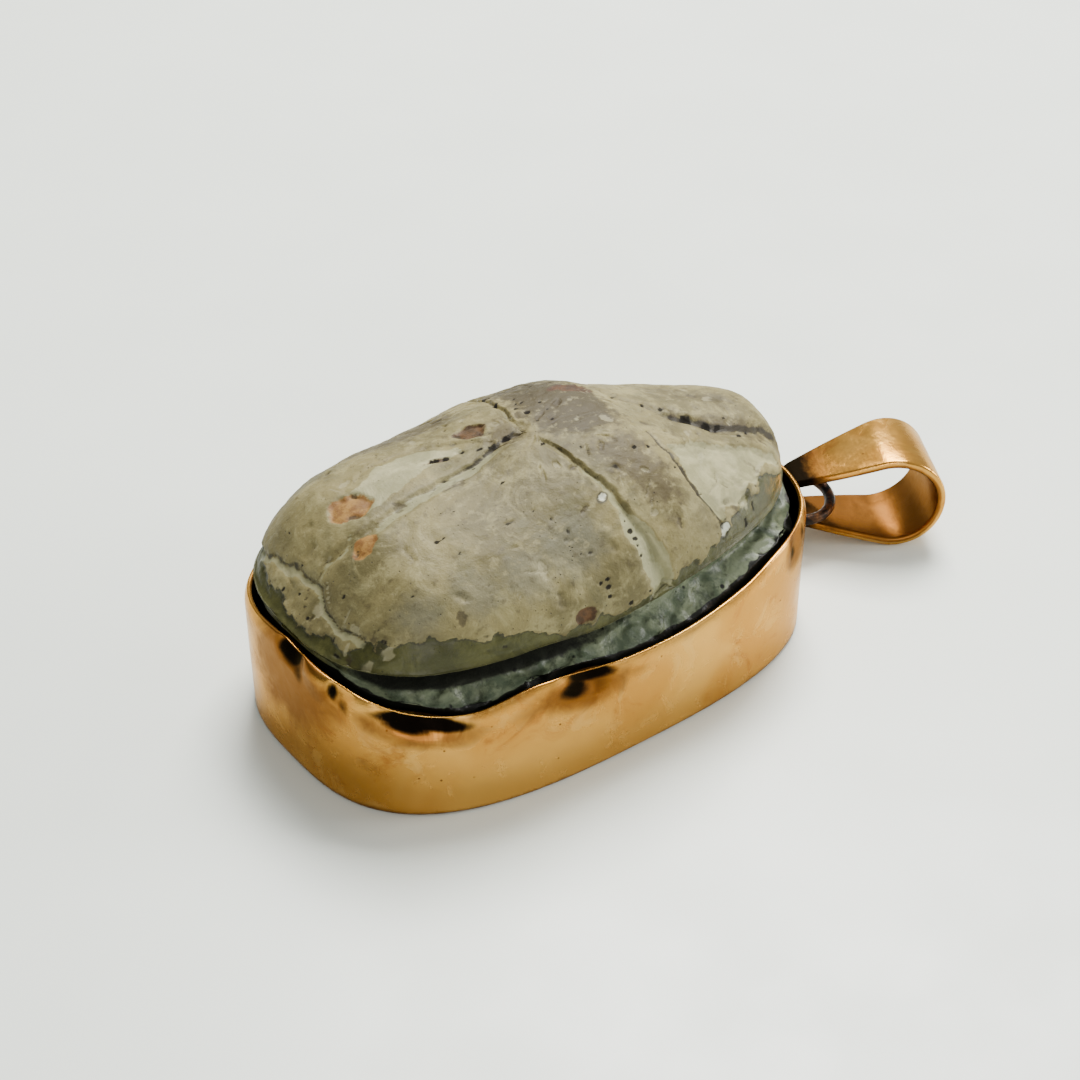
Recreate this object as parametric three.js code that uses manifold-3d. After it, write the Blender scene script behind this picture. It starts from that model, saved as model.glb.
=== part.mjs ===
// A scarab amulet: a worn stone beetle in a gold pendant mount, with a wire ring and a folded gold bail.
// Lengths are millimetres and angles are degrees. +X runs from the beetle's tail to its head and the bail,
// +Y is the side away from the hollows in the gold, and +Z points up from the mount's flat back.
import * as THREE from "three";
import { mergeVertices } from "three/addons/utils/BufferGeometryUtils.js";
import Module from "manifold-3d";

// The gold band: an oval whose quarters have their own squareness, where 2 is an ellipse and more is squarer.
const settingLength = 19.6;
const settingWidth = 12.6;
const settingSquareness = { head: 2.9, headFar: 2.6, tail: 2.9, tailFar: 2.9 };
const wallThickness = 0.3;
const ledgeWidth = 0.9; // the inner ledge that the stone sits on
const ledgeThickness = 0.5;
const bottomEdgeRound = 0.12;
const plainHeight = 1.4; // the wall is straight up to here, below every hollow
const lipThickness = 0.16;
const lipLean = 0.12; // how far the rubbed-over lip leans in over the stone

// The wall's rows of points, as distances below the lip: outside from the lowest up, then inside going down.
const outerSteps = [1.6, 0.85, 0.55, 0.25, 0.04];
const innerSteps = [0.3, 1.2];

// The height of the gold lip round the band, by angle from the head end.
const lipHeights = [
  [-180, 5.0], [-165, 4.7], [-150, 4.1], [-139, 3.9], [-124, 4.3], [-99, 3.9], [-76, 3.85], [-54, 4.25],
  [-42, 4.65], [-18, 4.8], [0, 4.75], [28, 4.6], [58, 4.15], [90, 3.9], [122, 4.15], [152, 4.5], [180, 5.0],
];

// The places where the band was pressed in under its lip, each with the angle it spans either side, its depth
// and how far it reaches below the lip. The one with a negative depth bulges out.
const pinches = [
  { angle: -149, spread: 9.5, depth: 0.42, reach: 0.95 },
  { angle: -110, spread: 11, depth: 0.38, reach: 1.0 },
  { angle: -178, spread: 5, depth: 0.35, reach: 0.9 },
  { angle: -170, spread: 4, depth: -0.12, reach: 1.2 },
  { angle: -17, spread: 4, depth: 0.22, reach: 2.6 },
  { angle: 118, spread: 9, depth: 0.25, reach: 0.9 },
];

// The stone. It sits on the ledge and in the band with these clearances.
const seatClearance = 0.06;
const stoneClearance = 0.1;
const rimClearance = 0.14; // from the highest point of the lip up to the rim of the wing cases
const rimEndInset = 0.16; // the rim of the wing cases stays this far inside the band's outside
const rimNearInset = 0.61;
const rimFarInset = 0.37;
const rimForward = 0.15; // the rim's oval lies this far towards the head
const rimSquareness = { head: 2.2, headFar: 1.75, tail: 2.8, tailFar: 3.0 };
const backHeight = 4.0; // from the rim up to the top of the back
const backRoundness = 2.1; // how the back rises at its rim, where 2 is an ellipse
const backFlatness = { side: 1.9, head: 3.7, tail: 3.05 }; // more keeps its height further out
const slotDepth = 1.0; // the cut under the wing cases, where the legs are
const slotHeight = 0.5;
const baseBevel = 0.25;
const baseFieldInset = 3; // the underside's inner row of points, from the base's edge
const shoulderInset = 0.08; // the base draws in this much from its foot to its top edge
const shoulderOverLip = 0.05;
const undercutDrop = 0.12; // the slot's floor lies at least this far under the rim
const gripHeights = [1.3, 0.45]; // below the lip, where the base follows the hollows in the gold

// The crest from tail to head: shares of half the rim's length and of the back's height.
const crest = [
  [-1, 0.18], [-0.8, 0.81], [-0.54, 0.86], [-0.27, 0.84], [-0.02, 0.96], [0.1, 0.97], [0.28, 0.95],
  [0.5, 0.74], [0.78, 0.72], [1, 1],
];

// The rim dips and rises a little, by angle from the head end.
const rimWave = [
  [-180, 0.0], [-150, 0.0], [-125, 0.05], [-108, -0.14], [-85, 0.0], [-50, 0.25], [-20, 0.05], [20, 0.1],
  [60, 0.0], [100, 0.08], [140, 0.0], [180, 0.0],
];

// Carved lines on the back as routes in shares of half the rim's length and width, with width and depth.
const grooves = [
  {
    route: [[-0.86, 0.11], [-0.63, 0.05], [-0.38, 0.1], [-0.2, 0.16], [0.03, 0.15]],
    width: 0.55,
    depth: 0.2,
  },
  {
    route: [[0.07, 0.86], [0.05, 0.6], [0.04, 0.2], [0.06, -0.3], [0.09, -0.75], [0.13, -0.97]],
    width: 0.75,
    depth: 0.3,
  },
  { route: [[0.4, -0.34], [0.39, -0.6], [0.42, -0.85], [0.47, -0.95]], width: 0.4, depth: 0.14 },
  { route: [[0.42, 0.7], [0.46, 0.42], [0.56, 0.1], [0.68, -0.12], [0.84, -0.3]], width: 0.6, depth: 0.22 },
  {
    route: [[-0.87, 0.62], [-0.88, 0.3], [-0.87, 0.08], [-0.9, -0.2], [-0.9, -0.42]],
    width: 0.5,
    depth: 0.16,
  },
];

// Chips in the back: place in the same shares, length, width and depth.
const chips = [
  { at: [-0.66, 0.28], length: 1.9, width: 1.5, depth: 0.14 },
  { at: [-0.72, -0.02], length: 1.3, width: 1.0, depth: 0.1 },
  { at: [0.33, 0.36], length: 1.4, width: 0.9, depth: 0.12 },
  { at: [0.62, -0.5], length: 3.8, width: 2.6, depth: 0.12 },
];

// The underside: an oval border and rows of plain strokes.
const borderInset = 0.75; // from the ledge's inner edge
const borderWidth = 0.3;
const strokeRows = 3;
const strokesInRow = 6;
const strokeLength = 1.7;
const strokeWidth = 0.36;
const carvingDepth = 0.18;
const strokeFieldEnd = 1; // the strokes keep this far from the border at the ends, and from its sides:
const strokeFieldSide = 0.5;
const cutterOverlap = 0.01; // the cutters stick out of the faces that they cut by this much

// The small eye soldered upright on the head end of the band.
const eyeWire = 0.36;
const eyeHole = 0.72;
const eyeSink = 0.14; // how far it is sunk into the wall
const eyeHeight = 1.7; // its middle above the back
const eyeSide = -0.6; // its place along Y

// The wire ring, lying almost flat through the eye and round the narrow end of the bail.
const ringWire = 0.42;
const ringHole = 2.3;
const ringTurn = 12; // from the eye to the ring's middle, about Z from +X
const ringTilt = 8;

// The bail: a strap bent into a closed loop, wide and tall at its far end.
const bailLength = 6.05;
const bailTurn = -29; // about Z, from +X towards -Y
const bailThickness = 0.34;
const bailEdgeEase = 0.1; // on the strap's outer edges
const bailNarrowWidth = 1.04;
const bailWideWidth = 3.22;
const bailNarrowHeight = 2.05; // outside, over the narrow bend
const bailWideHeight = 3.75; // outside, over the wide bend
const bailInRing = 0.69; // the narrow end reaches this far past the ring's middle
const bailBeside = 0.2; // and lies this far to one side of it

const roundSteps = 80; // sectors round the band and the stone
const backRows = 12;
const grooveSteps = 10;

const rad = THREE.MathUtils.degToRad;
const wasm = await Module();
wasm.setup();

// A closed geometry from rows of points. Each row is a loop with as many points as the next. Joined rows
// close on themselves, and otherwise the first and last rows are closed by their middle points.
function skin(rows, joined) {
  const count = rows[0].length;
  const positions = rows.flat().flatMap((p) => [p.x, p.y, p.z]);
  const index = [];
  const last = joined ? rows.length : rows.length - 1;
  for (let i = 0; i < last; i++) {
    const next = (i + 1) % rows.length;
    for (let j = 0; j < count; j++) {
      const k = (j + 1) % count;
      const [a, b, c, d] = [i * count + j, i * count + k, next * count + k, next * count + j];
      index.push(a, b, c, a, c, d);
    }
  }
  if (!joined) {
    for (const [row, turn] of [[0, true], [rows.length - 1, false]]) {
      const middle = new THREE.Vector3();
      rows[row].forEach((p) => middle.addScaledVector(p, 1 / count));
      const centre = positions.push(middle.x, middle.y, middle.z) / 3 - 1;
      for (let j = 0; j < count; j++) {
        const [a, b] = [row * count + j, row * count + ((j + 1) % count)];
        index.push(centre, turn ? b : a, turn ? a : b);
      }
    }
  }
  const geometry = new THREE.BufferGeometry();
  geometry.setAttribute("position", new THREE.Float32BufferAttribute(positions, 3));
  geometry.setIndex(index);
  return geometry;
}

function solidOf(geometry) {
  const bare = geometry.clone();
  bare.deleteAttribute("normal");
  bare.deleteAttribute("uv");
  const merged = mergeVertices(bare, 1e-4);
  return new wasm.Manifold(
    new wasm.Mesh({
      numProp: 3,
      vertProperties: merged.attributes.position.array,
      triVerts: new Uint32Array(merged.index.array),
    }),
  );
}

function geometryOf(solid) {
  const mesh = solid.getMesh();
  const geometry = new THREE.BufferGeometry();
  geometry.setAttribute("position", new THREE.Float32BufferAttribute(mesh.vertProperties, 3));
  geometry.setIndex(new THREE.Uint32BufferAttribute(mesh.triVerts, 1));
  const flat = geometry.toNonIndexed();
  flat.computeVertexNormals();
  return flat;
}

// A smooth curve through stations [place, value], as a cubic with the slope of each station's neighbours.
function through(stations, place) {
  const last = stations.length - 2;
  let i = stations.findIndex((s, n) => n === last || place < stations[n + 1][0]);
  i = Math.min(Math.max(i, 0), last);
  const slope = (n) => {
    const before = stations[Math.max(n - 1, 0)];
    const after = stations[Math.min(n + 1, stations.length - 1)];
    return (after[1] - before[1]) / (after[0] - before[0]);
  };
  const [x0, y0] = stations[i];
  const [x1, y1] = stations[i + 1];
  const span = x1 - x0;
  const t = THREE.MathUtils.clamp((place - x0) / span, 0, 1);
  const rise = t * t * (3 - 2 * t);
  return (
    y0 * (1 - rise) +
    y1 * rise +
    slope(i) * span * t * (1 - t) ** 2 -
    slope(i + 1) * span * t * t * (1 - t)
  );
}

// The band's outside and the rim of the wing cases, as ovals by their half sizes.
const settingOval = {
  end: settingLength / 2,
  near: settingWidth / 2,
  far: settingWidth / 2,
  squareness: settingSquareness,
};
const rimOval = {
  end: settingLength / 2 - rimEndInset,
  near: settingWidth / 2 - rimNearInset,
  far: settingWidth / 2 - rimFarInset,
  squareness: rimSquareness,
};

// An oval's distance from its middle at an angle.
function ovalRadius(oval, angle) {
  const far = Math.sin(angle) > 0;
  const power = oval.squareness[(Math.cos(angle) > 0 ? "head" : "tail") + (far ? "Far" : "")];
  const along = Math.abs(Math.cos(angle)) / oval.end;
  const across = Math.abs(Math.sin(angle)) / (far ? oval.far : oval.near);
  return (along ** power + across ** power) ** (-1 / power);
}

// A point of the setting's oval at an angle, moved inwards square to the wall.
function wallPoint(angle, inset, height) {
  const at = (a) => {
    const r = ovalRadius(settingOval, a);
    return new THREE.Vector2(r * Math.cos(a), r * Math.sin(a));
  };
  const step = 1e-3;
  const along = at(angle + step).sub(at(angle - step)).normalize();
  const p = at(angle);
  return new THREE.Vector3(p.x - along.y * inset, p.y + along.x * inset, height);
}

const sectorAngles = Array.from({ length: roundSteps }, (_, j) => (2 * Math.PI * j) / roundSteps - Math.PI);

function lipAt(angle) {
  return through(lipHeights, THREE.MathUtils.radToDeg(angle));
}

// How far the pinches push the wall in at an angle and a distance below the lip.
function pinchAt(angle, below) {
  let inset = 0;
  for (const pinch of pinches) {
    const turn = Math.abs(((THREE.MathUtils.radToDeg(angle) - pinch.angle + 540) % 360) - 180);
    const across = Math.min(turn / pinch.spread, 1);
    const down = THREE.MathUtils.clamp(below / pinch.reach, 0, 1);
    const round = Math.cos((across * Math.PI) / 2) ** 1.5;
    inset += pinch.depth * round * Math.sin(Math.PI * Math.sqrt(down)) ** 1.2;
  }
  return inset;
}

// The band as a profile carried round the oval, and the eye joined to it.
function makeBezel() {
  const innerWall = wallThickness;
  const outerRow = (below) => (angle) => {
    const lean = lipLean * (1 - Math.min(below / 0.5, 1)) ** 2;
    return wallPoint(angle, lean + pinchAt(angle, below), lipAt(angle) - below);
  };
  const flatRow = (inset, height) => (angle) => wallPoint(angle, inset, height);
  const lipRow = (angle) => wallPoint(angle, lipLean + lipThickness, lipAt(angle));
  const innerRow = (below) => (angle) =>
    wallPoint(angle, Math.max(innerWall, pinchAt(angle, below) + lipThickness), lipAt(angle) - below);
  const profile = [
    flatRow(bottomEdgeRound, 0),
    flatRow(0, bottomEdgeRound),
    flatRow(0, plainHeight),
    ...outerSteps.map(outerRow),
    lipRow,
    ...innerSteps.map(innerRow),
    flatRow(innerWall, ledgeThickness),
    flatRow(innerWall + ledgeWidth, ledgeThickness),
    flatRow(innerWall + ledgeWidth, 0),
  ];
  const band = skin(profile.map((row) => sectorAngles.map(row)), true);
  const eye = new THREE.TorusGeometry(eyeHole / 2 + eyeWire / 2, eyeWire / 2, 10, 20);
  eye.rotateX(Math.PI / 2);
  eye.translate(eyeMiddle.x, eyeMiddle.y, eyeMiddle.z);
  return geometryOf(solidOf(band).add(solidOf(eye)));
}

const headEnd = settingLength / 2;
const eyeMiddle = new THREE.Vector3(headEnd + eyeHole / 2 + eyeWire - eyeSink, eyeSide, eyeHeight);
const seatHeight = ledgeThickness + seatClearance;
const rimHeight = Math.max(...lipHeights.map((s) => s[1])) + rimClearance;

function rimAt(angle) {
  return rimHeight + through(rimWave, THREE.MathUtils.radToDeg(angle));
}

// The height of the beetle's back over a point, without its carved lines and chips.
function backHeightAt(x, y) {
  const angle = Math.atan2(y, x - rimForward);
  const share = Math.hypot(x - rimForward, y) / ovalRadius(rimOval, angle);
  const top = rimHeight + backHeight * through(crest, (x - rimForward) / rimOval.end);
  const end = Math.cos(angle) > 0 ? backFlatness.head : backFlatness.tail;
  const flatness = backFlatness.side + (end - backFlatness.side) * Math.cos(angle) ** 2;
  const rim = rimAt(angle);
  return rim + (top - rim) * Math.max(1 - share ** flatness, 0) ** (1 / backRoundness);
}

function sharePoint([along, across]) {
  const half = across > 0 ? rimOval.far : rimOval.near;
  return new THREE.Vector2(rimForward + along * rimOval.end, across * half);
}

// How strongly the legs' slot shows at an angle: all along the sides, and hardly at the two ends.
function slotShare(angle) {
  const fromEnd = Math.min(Math.abs(angle), Math.PI - Math.abs(angle));
  return THREE.MathUtils.smoothstep(fromEnd, rad(8), rad(26));
}

function stoneRows() {
  const baseInset = wallThickness + stoneClearance;
  const flat = (inset, height) => (angle) => wallPoint(angle, inset, height);
  const rimRow = (inset, drop) => (angle) => {
    const r = ovalRadius(rimOval, angle) - inset(angle);
    const [x, y] = [rimForward + r * Math.cos(angle), r * Math.sin(angle)];
    return new THREE.Vector3(x, y, rimAt(angle) - drop(angle));
  };
  const deep = (angle) => 0.1 + slotDepth * slotShare(angle);
  const ledgeDrop = (angle) => undercutDrop + slotHeight * slotShare(angle);
  const pressed = (angle) => Math.max(pinchAt(angle, innerSteps[0]), 0);
  const shoulder = (angle) => {
    const height = Math.min(lipAt(angle) + shoulderOverLip, rimAt(angle) - ledgeDrop(angle) - undercutDrop);
    return wallPoint(angle, baseInset + shoulderInset, height);
  };
  const grip = (below) => (angle) => wallPoint(angle, baseInset + pressed(angle), lipAt(angle) - below);
  const lower = [
    flat(baseInset + baseFieldInset, seatHeight),
    flat(baseInset + baseBevel, seatHeight),
    flat(baseInset, seatHeight + baseBevel),
    ...gripHeights.map(grip),
    shoulder,
    rimRow((angle) => 0.05 + 0.4 * slotShare(angle), ledgeDrop),
    rimRow(deep, (angle) => ledgeDrop(angle) * 0.8),
    rimRow((angle) => 0.4 * deep(angle), (angle) => ledgeDrop(angle) * 0.25),
    rimRow(() => 0, () => 0),
  ];
  const rows = lower.map((row) => sectorAngles.map(row));
  for (let i = 1; i < backRows; i++) {
    const share = Math.cos((i / backRows) * (Math.PI / 2)) ** 0.8;
    rows.push(
      sectorAngles.map((angle) => {
        const r = share * ovalRadius(rimOval, angle);
        const [x, y] = [rimForward + r * Math.cos(angle), r * Math.sin(angle)];
        return new THREE.Vector3(x, y, backHeightAt(x, y));
      }),
    );
  }
  return rows;
}

// A bar of round section along a route on the back, sunk so deep that it cuts the line's width and depth.
function grooveCutter({ route, width, depth }) {
  const radius = (width * width / 4 + depth * depth) / (2 * depth);
  const points = new THREE.CatmullRomCurve3(
    route.map((share) => {
      const p = sharePoint(share);
      return new THREE.Vector3(p.x, p.y, 0);
    }),
  )
    .getSpacedPoints(grooveSteps)
    .map((p) => new THREE.Vector3(p.x, p.y, backHeightAt(p.x, p.y) + radius - depth));
  const section = new THREE.Shape().absarc(0, 0, radius, 0, 2 * Math.PI);
  return new THREE.ExtrudeGeometry(section, {
    steps: grooveSteps,
    curveSegments: radius > width ? 14 : 8,
    bevelEnabled: false,
    extrudePath: new THREE.CatmullRomCurve3(points),
  });
}

// A flattened ball laid on the back's slope that takes out a chip.
function chipCutter({ at, length, width, depth }) {
  const p = sharePoint(at);
  const step = 0.05;
  const height = backHeightAt(p.x, p.y);
  const slopeX = (backHeightAt(p.x + step, p.y) - height) / step;
  const slopeY = (backHeightAt(p.x, p.y + step) - height) / step;
  const normal = new THREE.Vector3(-slopeX, -slopeY, 1).normalize();
  const ball = new THREE.SphereGeometry(1, 14, 8);
  ball.rotateX(Math.PI / 2);
  const thick = depth * 3;
  const spread = 1 / Math.sqrt(1 - ((thick - depth) / thick) ** 2);
  ball.scale((length / 2) * spread, (width / 2) * spread, thick);
  const turn = new THREE.Quaternion().setFromUnitVectors(new THREE.Vector3(0, 0, 1), normal);
  ball.applyQuaternion(turn);
  const lift = thick - depth;
  return ball.translate(p.x + normal.x * lift, p.y + normal.y * lift, height + normal.z * lift);
}

// The shallow oval border on the underside, as a triangular bead carried round the oval.
function borderCutter() {
  const middle = wallThickness + ledgeWidth + borderInset;
  const rows = [
    [middle - borderWidth / 2, -cutterOverlap],
    [middle, carvingDepth],
    [middle + borderWidth / 2, -cutterOverlap],
  ];
  const loops = rows.map(([inset, up]) =>
    sectorAngles.filter((_, j) => j % 2 === 0).map((angle) => wallPoint(angle, inset, seatHeight + up)),
  );
  return skin(loops, true);
}

// Rows of plain strokes on the underside, each a long thin diamond, leaning one way and then the other.
function strokeCutters() {
  const edge = wallThickness + ledgeWidth + borderInset + borderWidth;
  const fieldLength = settingLength - 2 * (edge + strokeFieldEnd);
  const fieldWidth = settingWidth - 2 * (edge + strokeFieldSide);
  const cutters = [];
  for (let row = 0; row < strokeRows; row++) {
    for (let n = 0; n < strokesInRow; n++) {
      const narrow = row === 1 ? 1 : 0.8;
      const x = fieldLength * narrow * ((n + 0.5) / strokesInRow - 0.5);
      const y = fieldWidth * ((row + 0.5) / strokeRows - 0.5);
      const stroke = new THREE.OctahedronGeometry(1);
      stroke.scale(strokeLength / 2, strokeWidth / 2, carvingDepth);
      stroke.rotateZ(rad([72, 20, -58][(n + row) % 3]));
      cutters.push(stroke.translate(x, y, seatHeight));
    }
  }
  return cutters;
}

function makeStone() {
  let stone = solidOf(skin(stoneRows(), false));
  const cutters = [
    ...grooves.map(grooveCutter),
    ...chips.map(chipCutter),
    borderCutter(),
    ...strokeCutters(),
  ];
  for (const cutter of cutters) stone = stone.subtract(solidOf(cutter));
  return geometryOf(stone);
}

function makeRing() {
  const ring = new THREE.TorusGeometry(ringHole / 2 + ringWire / 2, ringWire / 2, 8, 24);
  return geometryOf(solidOf(ring));
}

// The bail's side view is the outline round two circles, as equal steps of angle round each.
function bailOutline(inset) {
  const narrow = bailNarrowHeight / 2;
  const wide = bailWideHeight / 2;
  const narrowAt = new THREE.Vector2(narrow - bailInRing, eyeHeight);
  const wideAt = new THREE.Vector2(bailLength - bailInRing - wide, wide);
  const between = wideAt.clone().sub(narrowAt);
  const lean = Math.atan2(between.y, between.x);
  const open = Math.acos((narrow - wide) / between.length());
  const points = [];
  const arc = (centre, radius, from, to, steps) => {
    for (let i = 0; i <= steps; i++) {
      const a = from + ((to - from) * i) / steps;
      points.push(new THREE.Vector2(centre.x + radius * Math.cos(a), centre.y + radius * Math.sin(a)));
    }
  };
  arc(wideAt, wide - inset, lean - open, lean + open, 20);
  arc(narrowAt, narrow - inset, lean + open, lean + 2 * Math.PI - open, 14);
  return points;
}

function bailWidthAt(along) {
  const share = THREE.MathUtils.clamp((along + bailInRing) / bailLength, 0, 1);
  return bailNarrowWidth + (bailWideWidth - bailNarrowWidth) * Math.sin((share * Math.PI) / 2);
}

// The strap carried round the loop: each row is the strap's section, with its outer edges eased.
function makeBail() {
  const outer = bailOutline(0);
  const inner = bailOutline(bailThickness);
  const rows = outer.map((out, i) => {
    const shoulder = out.clone().lerp(inner[i], bailEdgeEase / bailThickness);
    const half = bailWidthAt(out.x) / 2;
    const point = (p, side) => new THREE.Vector3(p.x, side, p.y);
    return [
      point(inner[i], half),
      point(inner[i], -half),
      point(shoulder, -half),
      point(out, -half + bailEdgeEase),
      point(out, half - bailEdgeEase),
      point(shoulder, half),
    ];
  });
  return geometryOf(solidOf(skin(rows, true)));
}

const gold = { color: 0xc79a5b, roughness: 0.28, metalness: 1 };
const part = new THREE.Group();

function addPiece(name, geometry, finish, parent = part) {
  const mesh = new THREE.Mesh(geometry, new THREE.MeshStandardMaterial(finish));
  mesh.name = name;
  parent.add(mesh);
  return mesh;
}

addPiece("scarab", makeStone(), { color: 0x99968a, roughness: 0.6, metalness: 0 });
addPiece("bezel", makeBezel(), gold);

// The ring's wire goes through the middle of the eye's hole, and the bail's narrow end through the ring.
const pull = new THREE.Vector3(Math.cos(rad(ringTurn)), Math.sin(rad(ringTurn)), 0);
const ringMiddle = eyeMiddle.clone().addScaledVector(pull, ringHole / 2 + ringWire / 2);
const aside = new THREE.Vector3(-Math.sin(rad(bailTurn)), Math.cos(rad(bailTurn)), 0);
const ring = addPiece("jump_ring", makeRing(), { color: 0x6b5640, roughness: 0.45, metalness: 1 });
ring.position.copy(ringMiddle);
ring.rotation.set(rad(ringTilt), 0, rad(ringTurn), "ZYX");
const bail = addPiece("bail", makeBail(), gold);
bail.position.copy(ringMiddle).addScaledVector(aside, bailBeside).setZ(0);
bail.rotation.z = rad(bailTurn);

// The origin is the middle of the underside of the whole pendant's box.
part.updateMatrixWorld(true);
const box = new THREE.Box3().setFromObject(part, true);
part.children.forEach((mesh) => {
  mesh.position.x -= (box.min.x + box.max.x) / 2;
  mesh.position.y -= (box.min.y + box.max.y) / 2;
});

export default part;
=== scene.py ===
# %% [markdown]
# A scarab amulet: a worn stone beetle in a low gold band, hung from a wire ring and a tapered gold bail.
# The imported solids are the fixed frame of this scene. They could be dressed with materials alone, but their
# facets are coarse, so each one is replaced here by a fine surface that repeats its formula.

# %% Load the frame
import math

import bpy
import numpy as np
from mathutils import Matrix, Vector


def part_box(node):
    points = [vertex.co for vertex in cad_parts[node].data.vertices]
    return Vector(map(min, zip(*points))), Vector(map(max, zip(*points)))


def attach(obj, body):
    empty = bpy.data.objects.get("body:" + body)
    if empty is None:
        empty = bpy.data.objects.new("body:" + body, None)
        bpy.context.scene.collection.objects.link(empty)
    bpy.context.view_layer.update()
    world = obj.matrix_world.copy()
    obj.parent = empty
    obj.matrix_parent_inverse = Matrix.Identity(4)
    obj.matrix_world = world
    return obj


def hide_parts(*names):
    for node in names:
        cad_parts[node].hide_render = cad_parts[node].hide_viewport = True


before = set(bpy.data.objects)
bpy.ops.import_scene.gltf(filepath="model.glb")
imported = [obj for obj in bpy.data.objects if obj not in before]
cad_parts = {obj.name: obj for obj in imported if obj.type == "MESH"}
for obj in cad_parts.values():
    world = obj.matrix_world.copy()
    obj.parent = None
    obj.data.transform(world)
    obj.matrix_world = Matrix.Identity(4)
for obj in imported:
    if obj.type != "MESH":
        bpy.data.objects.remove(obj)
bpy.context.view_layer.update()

MM = 0.001

# %% [markdown]
# The sizes are those of the solids, in millimetres. Everything is measured from the band's middle. That isn't
# the origin, because the bail makes the pendant longer on one side, so it is read from the frame: half a
# band's length and width in from the bezel's lowest corner.

# %% Driving sizes
band_length, band_width = 19.6, 12.6
band_squareness = {"head": 2.9, "head_far": 2.6, "tail": 2.9, "tail_far": 2.9}
wall, ledge_width, ledge_height = 0.3, 0.9, 0.5
bottom_round, plain_height = 0.12, 1.4
lip_wall, lip_lean = 0.16, 0.12

seat_gap, stone_gap, rim_gap = 0.06, 0.1, 0.14
rim_end_inset, rim_near_inset, rim_far_inset, rim_forward = 0.16, 0.61, 0.37, 0.15
rim_squareness = {"head": 2.2, "head_far": 1.75, "tail": 2.8, "tail_far": 3.0}
back_height, back_roundness = 4.0, 2.1
back_flatness = {"side": 1.9, "head": 3.7, "tail": 3.05}
slot_depth, slot_height, base_bevel = 1.0, 0.5, 0.25

eye_wire, eye_hole, eye_sink, eye_height, eye_side = 0.36, 0.72, 0.14, 1.7, -0.6
ring_wire, ring_hole, ring_turn, ring_tilt = 0.42, 2.3, 12, 8
bail_length, bail_turn, bail_wall = 6.05, -29, 0.34
bail_narrow_width, bail_wide_width = 1.04, 3.22
bail_narrow_height, bail_wide_height = 2.05, 3.75
bail_in_ring, bail_beside = 0.69, 0.2

# A fine surface bulges past the facets of its solid by a few hundredths, so it is drawn in by this much.
draw_in, bail_draw_in = 0.02, 0.012

band_low = np.array(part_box("bezel")[0]) / MM
band_middle = band_low + [band_length / 2, band_width / 2, 0]
print("band's middle in mm:", band_middle.round(3))

# %% [markdown]
# The camera looks at the pendant from the tail and the side of the pressed hollows, from 36 degrees above.
# It could be placed by eye. Here its place follows from the turn, the height and the distance that the
# band's lower edge shows in perspective, and the two offsets slide it across its own view.

# %% Camera
view_turn, view_height, view_distance = -36.86, 36.0, 79.83
view_right, view_up = 0.277, 3.733
focal_pixels, picture_pixels, sensor = 2300, 1080, 36.0

turn, lift = math.radians(view_turn), math.radians(view_height)
towards_camera = Vector(
    (math.sin(turn) * math.cos(lift), -math.cos(turn) * math.cos(lift), math.sin(lift))
)
camera_right = Vector((math.cos(turn), math.sin(turn), 0))
camera_up = towards_camera.cross(camera_right)
camera_place = (
    Vector(band_middle) + towards_camera * view_distance + camera_right * view_right + camera_up * view_up
)
camera = bpy.data.objects.new("camera", bpy.data.cameras.new("camera"))
camera.data.sensor_width = sensor
camera.data.lens = focal_pixels / picture_pixels * sensor
camera.data.clip_start = 5 * MM
axes = Matrix((camera_right, camera_up, towards_camera)).transposed().to_4x4()
camera.matrix_world = Matrix.Translation(camera_place * MM) @ axes
bpy.context.scene.collection.objects.link(camera)
bpy.context.scene.camera = camera
print("camera at", [round(value, 2) for value in camera_place], "mm, lens", round(camera.data.lens, 2))

# %% [markdown]
# Polished gold shows what stands round it more than its own colour, so the light is what makes it look like
# gold: a soft panel overhead towards the bail, one low on the right for the band's long side, a weak one for
# its front, and a pale room that is brighter on the window's side. Hard lamps would leave small white spots.

# %% Lights and room
def soft_panel(name, place, aim, size, watts, colour):
    """A rectangular lamp at a place in mm, turned so that it faces the aim."""
    lamp = bpy.data.lights.new(name, "AREA")
    lamp.shape = "RECTANGLE"
    lamp.size, lamp.size_y = size[0] * MM, size[1] * MM
    lamp.energy, lamp.color = watts, colour
    panel = bpy.data.objects.new(name, lamp)
    place, aim = Vector(place) * MM, Vector(aim) * MM
    facing = (aim - place).to_track_quat("-Z", "Y").to_matrix().to_4x4()
    panel.matrix_world = Matrix.Translation(place) @ facing
    bpy.context.scene.collection.objects.link(panel)


soft_panel("panel_above", (70, 60, 150), (0, 0, 0), (90, 90), 0.95, (1.0, 0.985, 0.95))
soft_panel("panel_front", (-110, -150, 60), (-4, 0, 3), (80, 50), 0.16, (1.0, 0.97, 0.93))
soft_panel("panel_right", (160, -90, 60), (0, 0, 3), (70, 80), 0.30, (1.0, 0.99, 0.97))

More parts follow.
